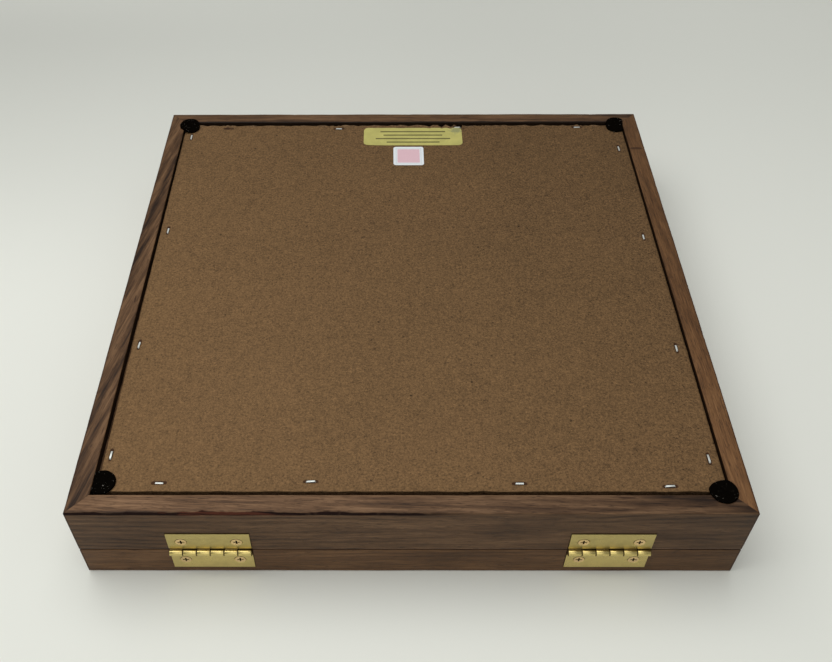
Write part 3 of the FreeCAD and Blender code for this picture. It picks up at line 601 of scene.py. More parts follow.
# A dark knock on top of each rail: its middle along and across the rail, and its half length and half width.
KNOCK = {
    "hinge_side": (96 * MM, 8 * MM - HALF_WIDTH, 4 * MM, 0.5 * MM),
    "right": (114 * MM, 5.5 * MM - HALF_WIDTH, 1.3 * MM, 4.0 * MM),
    "latch_side": (-40 * MM, 4 * MM - HALF_WIDTH, 3 * MM, 0.6 * MM),
    "left": (20 * MM, 7 * MM - HALF_WIDTH, 3 * MM, 0.5 * MM),
}


def walnut(name, side, seed, board):
    """Stained walnut whose grain runs along a rail: growth rings round a pith below the board, long dark
    streaks, fine fibre and short open pores. Arrises are rubbed light, and a torn arris shows as a dark
    split.
    Painted shade darkens the seam, the rim's inner wall, the outer top edge and the corner arrises, and a
    painted reflection of the floor lightens the lowest edge. The board gives its warmth, the painted light
    and shade of its top at the left and the right end and of its face, the strength of its figure, how far
    the grain runs off the rail's line, and how dark its outer edge is painted as shade."""
    warmth, top_left, top_right, face, figure, runout, edge_shade = board
    nodes = Nodes(name)
    quarter, half_run, _ = SIDES[side]
    along, across, up = nodes.place(turn=-quarter * math.pi / 2)
    share = (along / (2 * half_run) + 0.5).clamped()
    on_top = up.above(RIM - 0.7 * MM, RIM - 0.2 * MM)
    wobble = nodes.stretched((along, across, up), (70, 60, 60), 3.0) - 0.5
    # Painted shade in the seam where the lid meets the box.
    seam = (up - SEAM + wobble * 0.2 * MM).within(0.32 * MM, 0.14 * MM)
    inward = across + HALF_WIDTH
    # Painted shade on the rim's inner wall round the hardboard.
    if side == "latch_side":
        recess_shade = (inward - LIP + wobble * 1.6 * MM).above(-1.15 * MM, -0.75 * MM)
    else:
        recess_shade = (inward - LIP).above(-0.45 * MM, -0.15 * MM)
        recess_shade = recess_shade * (1 - up.above(RIM - 0.75 * MM, RIM - 0.3 * MM))
    recess_shade = recess_shade * up.above(LEDGE, LEDGE + 0.3 * MM)
    # Painted shade along the outer top edge, and down the corner arrises at the rail's ends.
    outer = (1 - inward.above(0.35 * MM, 1.0 * MM)) * up.above(RIM - 1.4 * MM, RIM - 0.8 * MM)
    corner_shade = (along.absolute() - half_run).above(-1.1 * MM, -0.5 * MM) * (1 - inward.above(0.6 * MM, 1.1 * MM))
    knock_x, knock_y, knock_long, knock_wide = KNOCK[side]
    knock_run = (along - knock_x + wobble * 2 * MM) / knock_long
    knock = 1 - (knock_run ** 2.0 + ((across - knock_y) / knock_wide) ** 2.0).above(0.5, 1.3)
    torn = nodes.attribute("torn")
    split = (up - RIM + 0.95 * MM + wobble * 1.6 * MM).within(0.72 * MM, 0.15 * MM)
    split = (torn * split * 2.2).clamped() * (1 - inward.above(1.6 * MM, 2.0 * MM))
    across = across + seed * 0.211 + along * runout
    along = along + seed * 1.37
    swirl = nodes.stretched((along, across, up), (9, 40, 40), 3.0)
    swing = nodes.stretched((along, across, up), (2.6, 10, 10), 1.0)
    depth = (across * 0.55 + up) + (swirl - 0.5) * 0.010 + (swing - 0.5) * 0.045
    ring = (depth * (2 * math.pi / RING_PITCH)).sine() * 0.5 + 0.5
    ring = ring ** 1.7 * nodes.stretched((along, across, up), (6, 70, 70), 1.0).above(0.3, 0.65)
    wavy = up + (nodes.stretched((along, across, up), (30, 60, 60), 2.0) - 0.5) * 0.0035
    fibre = nodes.stretched((along, across, wavy), (70, 1500, 1500), 3.0, 0.7)
    streak = nodes.stretched((along, across, wavy), (22, 420, 300), 4.0, 0.65)
    patch = nodes.stretched((along, across, up), (14, 60, 80), 3.0)
    smoke = nodes.stretched((along, across, up), (14, 60, 75), 2.0).above(0.56, 0.72)
    pore = nodes.stretched((along, across, wavy), (200, 2300, 2300), 1.0).above(0.60, 0.68)
    drawn = (on_top * 0.4 + 0.6) * figure
    tone = 0.5 + (fibre - 0.5) * 0.8 + (streak - 0.5) * 1.15 * drawn + (patch - 0.5) * 0.9 * drawn
    tone = tone - (ring - 0.25) * 0.3 * drawn - smoke * 0.16 * drawn
    palette = colours()
    dark, middle, light = palette.walnut_dark, palette.walnut, palette.walnut_light
    colour = nodes.ramp(tone, (0.12, dark), (0.5, middle), (0.88, light))
    tint = (1 + 0.12 * warmth, 1.0, 1 - 0.2 * warmth)
    colour = nodes.add("ShaderNodeVectorMath", {0: colour, 1: tint}, operation="MULTIPLY")
    # Painted light and shade: the top is lighter than the face and its lightness changes from the left end to
    # the right, and the face darkens towards its right end.
    painted_top_light = share * (top_right - top_left) + top_left
    painted_face_light = face - share.above(0.7, 1.0) * 0.18
    colour = nodes.shaded(colour, on_top * (painted_top_light - painted_face_light) + painted_face_light)
    colour = nodes.mix(pore * 0.55, colour, dark)
    wear = nodes.attribute("wear")
    grit = nodes.stretched((along, across, up), (90, 400, 400), 3.0)
    rubbed = (wear * grit).above(0.25, 0.6)
    colour = nodes.mix(rubbed * 0.45, colour, light)
    splinter = nodes.stretched((along, across, up), (40, 900, 900), 3.0, 0.65)
    # Painted shade on the outer edge and the corner arrises.
    colour = nodes.mix(outer * edge_shade, colour, PAINTED_EDGE_SHADE)
    colour = nodes.mix(corner_shade * 0.55, colour, PAINTED_CORNER_SHADE)
    colour = nodes.mix(knock * on_top * 0.7, colour, KNOCK_MARK)
    reddish = (torn.above(0.55, 0.9) * splinter.above(0.42, 0.62)) * 0.6
    colour = nodes.mix(split, colour, nodes.mix(reddish, palette.torn_wood, SPLINTER_RED))
    # Painted shade in the seam.
    colour = nodes.mix(seam * 0.85, colour, PAINTED_SEAM_SHADE)
    # Painted reflection of the floor on the lowest edge.
    colour = nodes.mix((1 - up.above(0.5 * MM, 0.9 * MM)) * 0.5, colour, PAINTED_FLOOR_BOUNCE)
    # Painted shade on the rim's inner wall.
    colour = nodes.mix(recess_shade * 0.93, colour, PAINTED_RECESS_SHADE)
    relief = fibre * 0.35 + streak * 0.3 - pore * 0.9 - split * (splinter + 1) * 2.0
    return nodes.finish(Base_Color=colour, Roughness=0.5 + (fibre - 0.5) * 0.25 + split * 0.35,
                        Normal=nodes.bump(relief, 0.05 * MM, 0.8), Specular_IOR_Level=0.14)


def pressed_fibre(name):
    """Hardboard: a fine felt of brown fibres, dark specks, a few pale fibres, clouds of tone, the faint
    screen imprint of its press, painted shade that darkens it towards +X and +Y, and, from the piece's
    attributes, torn edges and bruises round the staples that are partly painted shade of their dimples."""
    nodes, x, y, z, spot = started(name)
    fine = nodes.noise(spot, 1000, 3.0, 0.7)
    fibre = nodes.noise(nodes.vector(x * 0.35, y, z), 1150, 2.0, 0.6, 1.8)
    weft = nodes.noise(nodes.vector(x, y * 0.35, z), 950, 2.0, 0.6, 1.8)
    mottle = nodes.noise(spot, 260, 3.0, 0.6)
    cloud = nodes.noise(spot, 20, 4.0, 0.6)
    wander = nodes.noise(spot, 230, 2.0)
    speck = 1 - (nodes.cells(spot, 190) + (wander - 0.5) * 0.30).above(0.04, 0.10)
    pale_spot = nodes.vector(x * 0.45 + y * 0.3, y * 1.2 - x * 0.3, z)
    pale = 1 - (nodes.cells(pale_spot, 270) + (wander - 0.5) * 0.2).above(0.05, 0.12)
    wires = 5700
    screen = (x * wires).sine() * (y * wires).sine()
    screen = screen * nodes.noise(spot, 34, 1.0).above(0.35, 0.7)
    tone = 0.93 + (fine - 0.5) * 1.75 + (fibre - 0.5) * 1.2 + (weft - 0.5) * 0.9 + (mottle - 0.5) * 0.35
    tone = tone + (cloud - 0.5) * 0.22 + screen * 0.09 - speck * 0.42 + pale * 0.30
    # Painted shade: the board darkens towards +X and +Y.
    tone = tone - x * 0.85 - y * 0.85
    bruise = nodes.attribute("bruise")
    torn = nodes.attribute("torn")
    colour = nodes.shaded(colours().hardboard, tone)
    # The bruise round each staple is crushed board, and partly painted shade of its dimple.
    hurt = (bruise + (mottle - 0.5) * 0.9 + (fine - 0.5) * 0.8).above(0.42, 0.72)
    colour = nodes.mix(hurt * 0.85, colour, BRUISE_AND_SHADE_BROWN)
    ragged = (torn + (fibre - 0.5) * 0.7).above(0.35, 0.8)
    torn_colour = nodes.mix(fibre.above(0.35, 0.7), TORN_FIBRE, PALE_FIBRE)
    colour = nodes.mix(ragged * 0.7, colour, torn_colour)
    relief = fine * 0.9 + fibre * 0.7 + weft * 0.5 + mottle + screen * 0.25 - speck * 0.7 + torn * fibre * 2
    return nodes.finish(Base_Color=colour, Roughness=0.72 + (fine - 0.5) * 0.25,
                        Normal=nodes.bump(relief, 0.06 * MM, 0.8), Specular_IOR_Level=0.13)


def metal(name, base, tarnish, roughness, brushed=0.0, metallic=1.0, hollow_shade=None, pin=None):
    """Plated or bare metal: cloudy tarnish, fine rubbing marks and a slightly uneven polish. The hollows'
    argument is the place along Y where the hollows of a wall fitting begin, and how deep they are where
    painted shade fills them fully. A pin (its middle, the hinges' place along X, the barrel's radius and a
    knuckle's length) adds painted shade as dark lines beside the barrel and between the knuckles, and paints
    the leaf above the barrel darker, as if it reflected less light."""
    nodes, x, y, z, spot = started(name)
    cloud = nodes.noise(spot, 160, 4.0, 0.6)
    grit = nodes.noise(spot, 2400, 3.0, 0.6)
    rub = nodes.stretched((x, y, z), (90, 1500, 1900), 2.0)
    stain = (cloud + (grit - 0.5) * 0.35).above(0.42, 0.72)
    colour = nodes.mix(stain * 0.35, base, tarnish)
    polish = roughness + (cloud - 0.5) * 0.18 + (grit - 0.5) * 0.12 + (rub - 0.5) * brushed * 0.2
    painted_shade = None
    if hollow_shade:
        start, depth = hollow_shade
        # Painted shade in the hollows behind the fitting's face.
        painted_shade = ((y - start) / depth).above(0.0, 1.0) * 0.9
    if pin:
        middle, place, radius, knuckle = pin
        rise = z - middle[2]
        fall = 0 - rise
        reach = ((y - middle[1]) ** 2.0 + rise ** 2.0) ** 0.5
        # Painted shade: dark lines above and below the barrel, and in the gaps between the knuckles.
        over = rise.above(radius - 0.2 * MM, radius) * (1 - rise.above(radius + 0.65 * MM, radius + 1.1 * MM))
        under = fall.above(radius - 0.1 * MM, radius + 0.1 * MM)
        under = under * (1 - fall.above(radius + 1.6 * MM, radius + 2.1 * MM))
        corner = (over + under) * (y - start).above(-0.3 * MM, -0.15 * MM)
        joint = ((x.absolute() - place) * (math.pi / knuckle)).sine().absolute()
        joint = (1 - joint.above(0.09, 0.2)) * (1 - reach.above(radius + 0.03 * MM, radius + 0.12 * MM))
        painted_shade = (painted_shade + corner * 0.85 + joint * 0.85).clamped()
        # Painted shade: the leaf above the barrel is darker, as if it reflected less light.
        colour = nodes.shaded(colour, 1 - rise.above(radius, radius + 1.5 * MM) * 0.22)
    if painted_shade:
        colour = nodes.mix(painted_shade, colour, PAINTED_BRASS_SHADE)
        polish = polish + painted_shade * 0.3
    return nodes.finish(Base_Color=colour, Metallic=metallic, Roughness=polish,
                        Normal=nodes.bump(grit * 0.5 + rub * brushed + cloud * 0.8, 0.02 * MM, 0.6))


def felted(name, base, lint):
    """Short matted pile without any gloss, with a few pale threads caught in it."""
    nodes, x, y, z, spot = started(name)
    pile = nodes.noise(spot, 2600, 4.0, 0.7, 0.8)
    clump = nodes.noise(spot, 520, 2.0)
    thread = nodes.noise(nodes.vector(x * 0.3, y * 1.4, z), 1500, 1.0, 0.5, 2.5).above(0.74, 0.78)
    colour = nodes.shaded(base, 0.4 + pile * 0.8 + clump * 0.4)
    colour = nodes.mix(thread * lint, colour, LINT)
    return nodes.finish(Base_Color=colour, Roughness=1.0, Specular_IOR_Level=0.0,
                        Normal=nodes.bump(pile * 0.8 + clump * 0.6, 0.12 * MM, 0.9))


def clear_glass(name):
    """Picture glass with a slight green cast and faint dust."""
    nodes, *_, spot = started(name)
    dust = nodes.noise(spot, 900, 2.0).above(0.62, 0.8)
    return nodes.finish(Base_Color=GLASS_TINT, Roughness=0.01 + dust * 0.05, IOR=1.52,
                        Transmission_Weight=1.0)


def woven_cloth(name, base):
    """Plain-woven lining: over-and-under threads, with slubs and a soft sheen."""
    nodes, x, y, z, spot = started(name)
    pitch = 0.45 * MM
    wander = (nodes.noise(spot, 60, 2.0) - 0.5) * 0.4 * MM
    wave = math.pi / pitch
    warp = ((x + wander) * wave).sine().absolute()
    weft = ((y + wander) * wave).sine().absolute()
    over = ((x * wave).sine() * (y * wave).sine()).above(-0.2, 0.2)
    thread = warp * over + weft * (1 - over)
    slub = nodes.stretched((x, y, z), (40, 900, 1.0), 2.0)
    colour = nodes.shaded(base, 0.55 + thread * 0.5 + (slub - 0.5) * 0.5)
    return nodes.finish(Base_Color=colour, Roughness=0.88, Sheen_Weight=0.3, Sheen_Roughness=0.45,
                        Normal=nodes.bump(thread * 0.8 + slub * 0.3, 0.08 * MM, 0.9))


# The long label's ruled lines: how far each lies from its middle, and its half length.
RULED_LINES = ((5.3 * MM, 21.0 * MM), (1.5 * MM, 19.0 * MM), (-2.3 * MM, 24.0 * MM), (-6.1 * MM, 17.0 * MM))


def gold_foil(name, centre, half_length, half_width):
    """Pressed foil label: brushed olive gold and four plain ruled lines, one corner scuffed to grey."""
    nodes, x, y, z, spot = started(name, centre)
    brushed = nodes.stretched((x, y, z), (70, 2600, 1.0), 3.0)
    cloud = nodes.noise(spot, 120, 3.0)
    lines = None
    for height, half_run in RULED_LINES:
        line = (y - height).within(0.6 * MM, 0.15 * MM) * x.within(half_run, 0.1 * MM)
        lines = line if lines is None else lines.math("MAXIMUM", lines, line)
    scuff_spot = (half_length - 3.5 * MM, half_width - 2.5 * MM, 0)
    scuff = nodes.add("ShaderNodeVectorMath", {0: spot, 1: scuff_spot}, output="Value", operation="DISTANCE")
    scuff = (scuff + (nodes.noise(spot, 420, 3.0) - 0.5) * 7 * MM).above(1.5 * MM, 5.5 * MM)
    gold = nodes.shaded(colours().gold, 1.14 + (brushed - 0.5) * 0.25 + (cloud - 0.5) * 0.28)
    colour = nodes.mix(lines * 0.82, gold, RULED_LINE)
    colour = nodes.mix((1 - scuff) * 0.8, colour, SCUFFED_FOIL)
    return nodes.finish(Base_Color=colour, Metallic=0.55 * scuff, Roughness=0.42 + (cloud - 0.5) * 0.3,
                        Normal=nodes.bump(brushed * 0.3 + cloud * 2.0 - lines * 0.5, 0.03 * MM, 0.7))


def printed_paper(name, centre, half_side):
    """Square paper sticker: a thin printed frame round one plain rose block, with a paper margin between
    them. block = within(half side - 2.5 mm) in x and in y."""
    nodes, x, y, _, spot = started(name, centre)
    fibre = nodes.noise(spot, 1300, 3.0, 0.6)
    cloud = nodes.noise(spot, 150, 2.0)
    paper = nodes.shaded(colours().paper, 0.95 + (fibre - 0.5) * 0.10 + (cloud - 0.5) * 0.08)
    inside, core, block = (
        x.within(half_side - margin, softness) * y.within(half_side - margin, softness)
        for margin, softness in ((1.5 * MM, 0.06 * MM), (1.9 * MM, 0.06 * MM), (2.5 * MM, 0.15 * MM)))
    frame_line = inside * (1 - core)
    colour = nodes.mix(frame_line * 0.25, paper, STICKER_FRAME)
    colour = nodes.mix(block * 0.75, colour, STICKER_BLOCK)
    return nodes.finish(Base_Color=colour, Roughness=0.55 + (fibre - 0.5) * 0.2,
                        Normal=nodes.bump(fibre * 0.5 + cloud, 0.02 * MM, 0.6))


def foam_board(name):
    """Open-celled board, hidden in the display pad."""
    nodes, *_, spot = started(name)
    cell = nodes.cells(spot, 700)
    colour = nodes.shaded(FOAM_CREAM, 0.75 + cell * 0.5)
    return nodes.finish(Base_Color=colour, Roughness=0.9, Normal=nodes.bump(cell, 0.2 * MM, 0.8))


def putty(name):
    """Wood filler, a little duller and redder than the wood."""
    nodes, *_, spot = started(name)
    grit = nodes.noise(spot, 1800, 3.0)
    colour = nodes.shaded(FILLER_BROWN, 0.8 + grit * 0.4)
    return nodes.finish(Base_Color=colour, Roughness=0.62, Normal=nodes.bump(grit, 0.03 * MM, 0.6))


def ground(name):
    """Matt pale sheet with painted shade: darker towards the back, in a soft band on the left and a little
    towards the right, and lighter again at the far right.
    """
    nodes = Nodes(name)
    x, y, _ = nodes.place()
    # Painted shade: darker towards the back, in a band on the left and a little towards the right, and
    # lighter again at the far right.
    far = (y + x * 0.05).above(0.0, 0.36)
    painted_band_shade = y.above(0.0, 0.18) * (1 - y.above(0.32, 0.46)) * (1 - x.above(-0.4, 0.05))
    side = x.above(-0.2, 0.5)
    tone = 1 - far * 0.22 - side * 0.03 - painted_band_shade * 0.1 + x.above(0.0, 0.4) * far * 0.13
    return nodes.finish(Base_Color=nodes.shaded(colours().floor, tone), Roughness=0.8, Specular_IOR_Level=0.2)


def dress(node, material, edge=0.0):
    """Gives a node of the frame its material, and rounds its edges if it is stamped or cut metal."""
    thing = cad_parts[node]
    if not thing.material_slots:
        thing.data.materials.append(material)
    for slot in thing.material_slots:
        slot.material = material
    if edge:
        weld = thing.modifiers.new("Weld", "WELD")
        weld.merge_threshold = 0.001 * MM
        bevel = thing.modifiers.new("Edge", "BEVEL")
        bevel.width = edge
        bevel.segments = 2
        bevel.limit_method = "ANGLE"
        bevel.angle_limit = math.radians(40)
        bevel.harden_normals = True
    return thing


# ---------------------------------------------------------------------------------------------------------
# Pieces


class CASE_OT_box_rails(bpy.types.Operator):
    """Four mitred rails of the box: rounded arrises, a rim round the hardboard, and the hinge mortises"""
    bl_idname = "case.box_rails"
    bl_label = "Box rails"

    # Each side's board: warmth, its top's lightness at the left and the right end and its face's lightness
    # (light and shade painted into the colour), its figure, its grain's runout and its outer edge's painted
    # shade.
    BOARDS = {
        "hinge_side": (0.0, 1.25, 0.62, 0.83, 1.1, 0.04, 0.0),
        "right": (1.0, 1.05, 0.68, 0.95, 0.4, -0.03, 0.7),
        "latch_side": (0.3, 0.76, 0.76, 0.9, 0.8, 0.01, 0.8),
        "left": (0.4, 0.66, 0.76, 0.9, 1.4, 0.22, 0.75),
    }

    def execute(self, context):
        for number, side in enumerate(SIDES):
            rng = np.random.default_rng([sizes().grain_seed, 1, number])
            stations, spread, mortise = rail_layout(side, 1.5 * MM, "box")
            knocks = np.clip(waves(rng, 3 * MM, 40 * MM, 12, spread) - 0.45, 0, 1)
            arris = sizes().top_arris * (1 + 0.25 * waves(rng, 8 * MM, 90 * MM, 6, spread))
            arris = arris + knocks * 0.5 * MM
            torn = np.zeros(len(spread))
            if side == "hinge_side":
                worst = smooth(-118 * MM, -96 * MM, spread) * (1 - smooth(-66 * MM, -46 * MM, spread))
                torn = 0.5 * (1 - smooth(-4 * MM, 30 * MM, spread)) + 0.6 * worst
                torn = np.clip(torn * (1 + 0.4 * waves(rng, 2.2 * MM, 24 * MM, 12, spread)), 0, 1)
                arris = arris + torn * sizes().chip_depth
            floor = RAIL_LOW[2]
            seam, lip_arris = sizes().seam_arris, sizes().inner_arris
            outline, bends = rounded_outline([
                (0, floor, seam, 4, 8), *mortise, (0, RIM, arris, 6, 6), (LIP, RIM, lip_arris, 4, 2),
                (LIP, LEDGE, 0, 0, 3), (WALL, LEDGE, lip_arris, 3, 6), (WALL, floor, seam, 3, 6),
            ], len(spread))
            points, along = rail_points(side, stations, outline, "box")
            wear = rubbed_arrises(rng, bends, along)
            broken = np.broadcast_to(torn[:, None], wear.shape)
            material = walnut(f"walnut_box_{side}", side, number + 1, self.BOARDS[side])
            piece = mesh_piece(f"box_rail_wood_{side}", *carried(points), "box", material, "walnut",
                               wear=wear, torn=broken)
            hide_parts(f"box_rail_{side}")
        return {"FINISHED"}


class CASE_OT_lid_rails(bpy.types.Operator):
    """Four mitred rails of the glazed lid, eased outside and bevelled round the window"""
    bl_idname = "case.lid_rails"
    bl_label = "Lid rails"

    BOARD = (0.55, 1.0, 1.0, 0.86, 0.8, 0.01, 0.0)

    def execute(self, context):
        for number, side in enumerate(SIDES):
            rng = np.random.default_rng([sizes().grain_seed, 2, number])
            stations, spread, mortise = rail_layout(side, 1.9 * MM, "lid")
            front = 0.9 * MM * (1 + 0.2 * waves(rng, 8 * MM, 90 * MM, 6, spread))
            seam = sizes().seam_arris
            top = LID_HIGH[2]
            bevel = 1.6 * MM
            outline, bends = rounded_outline([
                (0, 0, front, 5, 5), *mortise, (0, top, seam, 4, 5), (STOP_INSET, top, seam, 3, 5),
                (STOP_INSET, LID_LIP, 0, 0, 2), (WALL, LID_LIP, 0.2 * MM, 2, 2),
                (WALL, bevel, 0.3 * MM, 2, 2), (WALL - bevel, 0, 0.3 * MM, 2, 6),
            ], len(spread))
            points, along = rail_points(side, stations, outline, "lid")
            wear = rubbed_arrises(rng, bends, along)
            material = walnut(f"walnut_lid_{side}", side, number + 6, self.BOARD)
            piece = mesh_piece(f"lid_rail_wood_{side}", *carried(points), "lid", material, "walnut",
                               wear=wear, torn=np.zeros(wear.shape))
            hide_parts(f"lid_rail_{side}")
        return {"FINISHED"}


class CASE_OT_glass_stops(bpy.types.Operator):
    """Four mitred strips that hold the glass in, round over inside"""
    bl_idname = "case.glass_stops"
    bl_label = "Glass stops"

    BOARD = (0.2, 1.0, 1.0, 0.95, 0.6, 0.0, 0.0)

    def execute(self, context):
        floor, top = STOP_LOW[2], STOP_HIGH[2]
        for number, side in enumerate(SIDES):
            stations, spread, _ = rail_layout(side, 3 * MM)
            soft = 0.25 * MM
            gap = 0.05 * MM
            outline, bends = rounded_outline([
                (STOP_INSET + gap, floor, soft, 2, 3), (STOP_INSET + gap, top, soft, 2, 3),
                (WALL, top, 2.2 * MM, 6, 3), (WALL, floor, soft, 2, 3)], len(spread))
            points, along = rail_points(side, stations, outline)
            material = walnut(f"walnut_stop_{side}", side, number + 11, self.BOARD)
            wear = np.broadcast_to(bends, along.shape) * 0.6
            piece = mesh_piece(f"glass_stop_wood_{side}", *carried(points), "lid", material, "walnut",
                               wear=wear, torn=np.zeros(along.shape))
            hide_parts(f"glass_stop_{side}")
        return {"FINISHED"}


def edge_lines(half, edge, count):
    """Places from -half to half, close together within the rounded edge and even between."""
    rounding = edge * (1 - np.cos(np.linspace(0, math.pi / 2, 4)))
    return np.concatenate([-half + rounding, np.linspace(-half + edge, half - edge, count)[1:-1],
                           (half - rounding)[::-1]])


def edge_drop(distance, edge):
    """How far a rounded edge has fallen at a distance inside it: a quarter circle."""
    inside = np.clip(distance, 0, edge)
    return edge - np.sqrt(np.maximum(edge ** 2 - (edge - inside) ** 2, 0))


class CASE_OT_glass_pane(bpy.types.Operator):
    """Glass of the lid, its edges ground off"""
    bl_idname = "case.glass_pane"
    bl_label = "Glass pane"

    def execute(self, context):
        low, high = corners_of("glass_pane")
        half = (high - low) / 2
        centre = (high + low) / 2
        edge = 0.3 * MM
        u, v = np.meshgrid(edge_lines(half[0], edge, 12), edge_lines(half[1], edge, 12), indexing="ij")
        drop = edge_drop(np.minimum(half[0] - abs(u), half[1] - abs(v)), edge)
        top = np.stack([centre[0] + u, centre[1] + v, high[2] - drop], axis=-1)
        bottom = np.stack([centre[0] + u, centre[1] + v, low[2] + drop], axis=-1)
        glass = clear_glass("picture_glass")
        piece = mesh_piece("glass_pane_clear", *slab(top, bottom), "lid", glass, "glass")
        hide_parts("glass_pane")
        return {"FINISHED"}


def staples_in_order():
    """The staples' boxes round the back, from the near side's left end anticlockwise seen from above."""
    def place(ends):
        x, y, _ = (ends[0] + ends[1]) / 2
        sideways = (ends[1] - ends[0])[0] > (ends[1] - ends[0])[1]
        if sideways:
            return (0, x) if y < 0 else (2, -x)
        return (1, y) if x > 0 else (3, -y)
    return sorted(solids_of("back_panel_staples"), key=place)


def distance_to_staple(x, y, low, high):
    """Distance in plan to the middle line of a staple's crown."""
    middle, half = (low + high) / 2, (high - low) / 2
    lengthwise = 0 if half[0] > half[1] else 1
    reach = np.maximum(abs((x, y)[lengthwise] - middle[lengthwise]) - half[lengthwise], 0)
    return np.hypot(reach, (x, y)[1 - lengthwise] - middle[1 - lengthwise])


class CASE_OT_back_panel(bpy.types.Operator):
    """Hardboard back: sawn a little out of square with ragged edges, and bruised where it is stapled"""
    bl_idname = "case.back_panel"
    bl_label = "Hardboard back"

    def execute(self, context):
        rng = np.random.default_rng([sizes().grain_seed, 3])
        staples = solids_of("back_panel_staples")
        low, high = PANEL_LOW, PANEL_HIGH
        centre, half = (low + high) / 2, (high - low) / 2
        lines = []
        for axis in (0, 1):
            margin = 1.5 * MM
            spots = [np.linspace(start[axis] - margin, end[axis] + margin, 11) - centre[axis]
                     for start, end in staples]
            border = [sign * (half[axis] - np.linspace(0, 4 * MM, 9)) for sign in (-1, 1)]
            even = np.linspace(-half[axis], half[axis], 105)
            merged = np.unique(np.round(np.concatenate([even, *spots, *border]) / (0.25 * MM)) * 0.25 * MM)
            lines.append(np.clip(merged, -half[axis], half[axis]))
        u, v = np.meshgrid(np.unique(lines[0]), np.unique(lines[1]), indexing="ij")
        ragged = sizes().ragged
        x, y = centre[0] + u, centre[1] + v
        saw_far = ragged * waves(rng, 1.2 * MM, 26 * MM, 16, x)
        bites = smooth(8 * MM, 20 * MM, x) * (1 - smooth(40 * MM, 54 * MM, x))
        bites = bites * np.clip(0.25 + waves(rng, 1.5 * MM, 9 * MM, 10, x), -0.5, 1.3) * 2.4 * MM
        saw_near = sizes().near_gap + 0.7 * ragged * waves(rng, 1.5 * MM, 30 * MM, 14, x)
        saw_side = 0.35 * ragged * waves(rng, 1.5 * MM, 30 * MM, 14, y)
        far_pull = smooth(half[1] - 5 * MM, half[1], v)
        near_pull = smooth(half[1] - 5 * MM, half[1], -v)
        left_share = (half[0] - u) / (2 * half[0])
        x = x + left_share ** 4 * (-sizes().panel_taper * v / half[1])
        x = x + saw_side * (smooth(half[0] - 4 * MM, half[0], u) + smooth(half[0] - 4 * MM, half[0], -u))
        y = y + far_pull * (saw_far - bites) + near_pull * saw_near
        inset = np.minimum(half[0] - abs(u), half[1] - abs(v))
        press = np.zeros(x.shape)
        bruise = np.zeros(x.shape)
        dent, dent_reach, bruise_reach = 0.42 * MM, 0.8 * MM, 1.15 * MM
        lip, lip_place, lip_reach = 0.07 * MM, 1.7 * MM, 0.6 * MM
        for staple in staples:
            gap = distance_to_staple(x, y, *staple)
            press += -dent * np.exp(-(gap / dent_reach) ** 2)
            press += lip * np.exp(-((gap - lip_place) / lip_reach) ** 2) * (inset > 1 * MM)
            # Crushed board round each staple, darkened in the material partly as painted shade of its dimple.
            bruise = np.maximum(bruise, np.exp(-(gap / bruise_reach) ** 2))
        edge = 0.35 * MM
        swell = 0.03 * MM * (waves(rng, 20 * MM, 140 * MM, 8, x, y) - 1)
        tufts = np.clip(0.6 + waves(rng, 2 * MM, 16 * MM, 8, x), 0.15, 1.2)
        burr = (1 - smooth(0, 3.5 * MM, half[1] - v)) * tufts
        z = high[2] - edge_drop(inset, edge) + press + swell + burr * sizes().burr_height
        torn = (1 - smooth(0.2 * MM, 1.6 * MM, inset)) * (0.35 + 0.65 * (bites > 0.3 * MM) * (v > 0))
        torn = np.maximum(torn, 0.75 * burr)
        top = np.stack([x, y, z], axis=-1)
        ring = grid_edge(*x.shape)
        wall_levels = np.linspace(high[2] - edge, low[2], 4)[1:]
        points, values, bruises = [top.reshape(-1, 3)], [torn.ravel()], [bruise.ravel()]
        groups = [grid_faces(*x.shape, closed=False)]
        above = ring
        for level in wall_levels:
            here = points[0][ring].copy()
            here[:, 2] = level
            below = np.arange(len(ring)) + sum(len(block) for block in points)
            points.append(here)
            values.append(np.full(len(ring), 0.9))
            bruises.append(np.zeros(len(ring)))
            groups.append(np.stack([above, np.roll(above, -1), np.roll(below, -1), below], axis=-1))
            above = below
        groups.append(above[None, :])
        piece = mesh_piece("back_panel_board", np.concatenate(points), groups, "box",
                           pressed_fibre("hardboard_brown"), "hardboard",
                           torn=np.concatenate(values), bruise=np.concatenate(bruises))
        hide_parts("back_panel")
        return {"FINISHED"}


